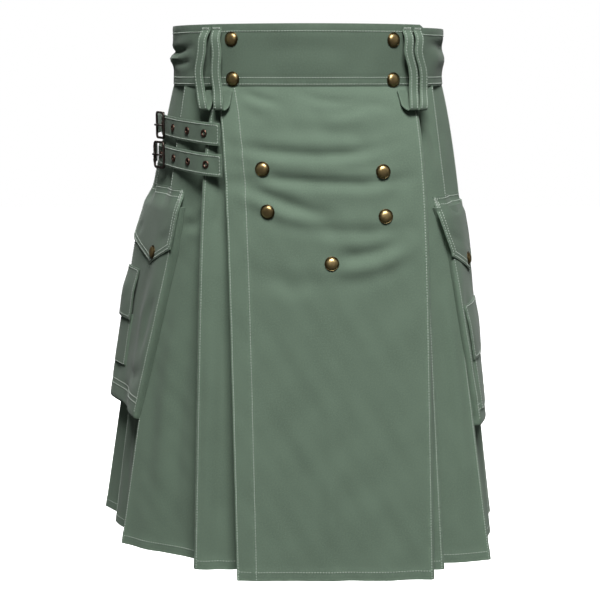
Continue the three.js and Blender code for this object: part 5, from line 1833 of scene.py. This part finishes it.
        across = edge_columns(width + 2 * FLAP_MARGIN, 14) + width / 2
        heights = np.concatenate([np.linspace(top, low + 1.5, SMALL_FLAP_ROWS), [low + 0.5, low]])
        base = POCKET_OUT + bag_depth(side, heights[:, None], across[None, :] + start) + size["gap"]
        lifted = size["lid_gap"] + away * smooth(-heights, -top, -top + size["rise"])
        outs = base + lifted[:, None] + STRIP_WALL / 2
        grid = self.lay(side, heights, np.broadcast_to(across + start, outs.shape), outs)
        panel = Panel(f"{label}_small_flap", grid)
        rim = np.broadcast_to(np.minimum(across + FLAP_MARGIN, width + FLAP_MARGIN - across), outs.shape)
        under = np.broadcast_to((heights - low)[:, None], outs.shape)
        panel.push(0.3 * waves(np.broadcast_to(across, outs.shape), grid[..., 2], 81 + side, 20, 60, 50))
        seam = 0.9 * near(rim, 1.8) + 0.9 * near(under, 1.8)
        thick = 0.6 + 0.4 * smooth(np.minimum(rim, under), 0, 1.5)
        piece = cloth_piece(panel, LOOP_WALL, seam, thick, "sage_tape")
        declare(panel)
        lift = LOOP_WALL / 2 + 0.03
        ends = np.interp((0, width), across, np.arange(len(across)))
        for column in ends:
            sew_column(POCKET_THREAD, panel, np.linspace(0.5, SMALL_FLAP_ROWS - 1.8, 60), column, lift)
        for row in (0.6, SMALL_FLAP_ROWS - 1.6):
            sew_row(POCKET_THREAD, panel, row, np.linspace(*ends, 60), lift)


class KILT_OT_stitching(bpy.types.Operator):
    """Joins all the rows of contrast stitches that the other pieces laid down"""

    bl_idname = "kilt.stitching"
    bl_label = "Stitching"

    def execute(self, context):
        for spool in THREADS.values():
            spool.knit(settings().stitch_radius / MM)
        return {"FINISHED"}


OPERATORS = (
    KILT_OT_stage,
    KILT_OT_waistband,
    KILT_OT_aprons,
    KILT_OT_pleats,
    KILT_OT_underlay,
    KILT_OT_belt_loops,
    KILT_OT_straps,
    KILT_OT_buckles,
    KILT_OT_eyelets,
    KILT_OT_pockets,
    KILT_OT_snaps,
    KILT_OT_stitching,
)


class KILT_PT_sidebar(bpy.types.Panel):
    """The pieces of the kilt and its settings"""

    bl_idname = "KILT_PT_sidebar"
    bl_label = "Utility Kilt"
    bl_space_type = "VIEW_3D"
    bl_region_type = "UI"
    bl_category = "Kilt"

    def draw(self, context):
        for name in KiltSettings.__annotations__:
            self.layout.prop(context.scene.kilt, name)
        for operator in OPERATORS:
            self.layout.operator(operator.bl_idname)


CLASSES = (KiltSettings, *OPERATORS, KILT_PT_sidebar)


def register():
    for cls in CLASSES:
        bpy.utils.register_class(cls)
    bpy.types.Scene.kilt = PointerProperty(type=KiltSettings)


def unregister():
    del bpy.types.Scene.kilt
    for cls in reversed(CLASSES):
        bpy.utils.unregister_class(cls)


def main():
    register()
    for operator in OPERATORS:
        group, name = operator.bl_idname.split(".")
        getattr(getattr(bpy.ops, group), name)()


if __name__ == "__main__":
    main()
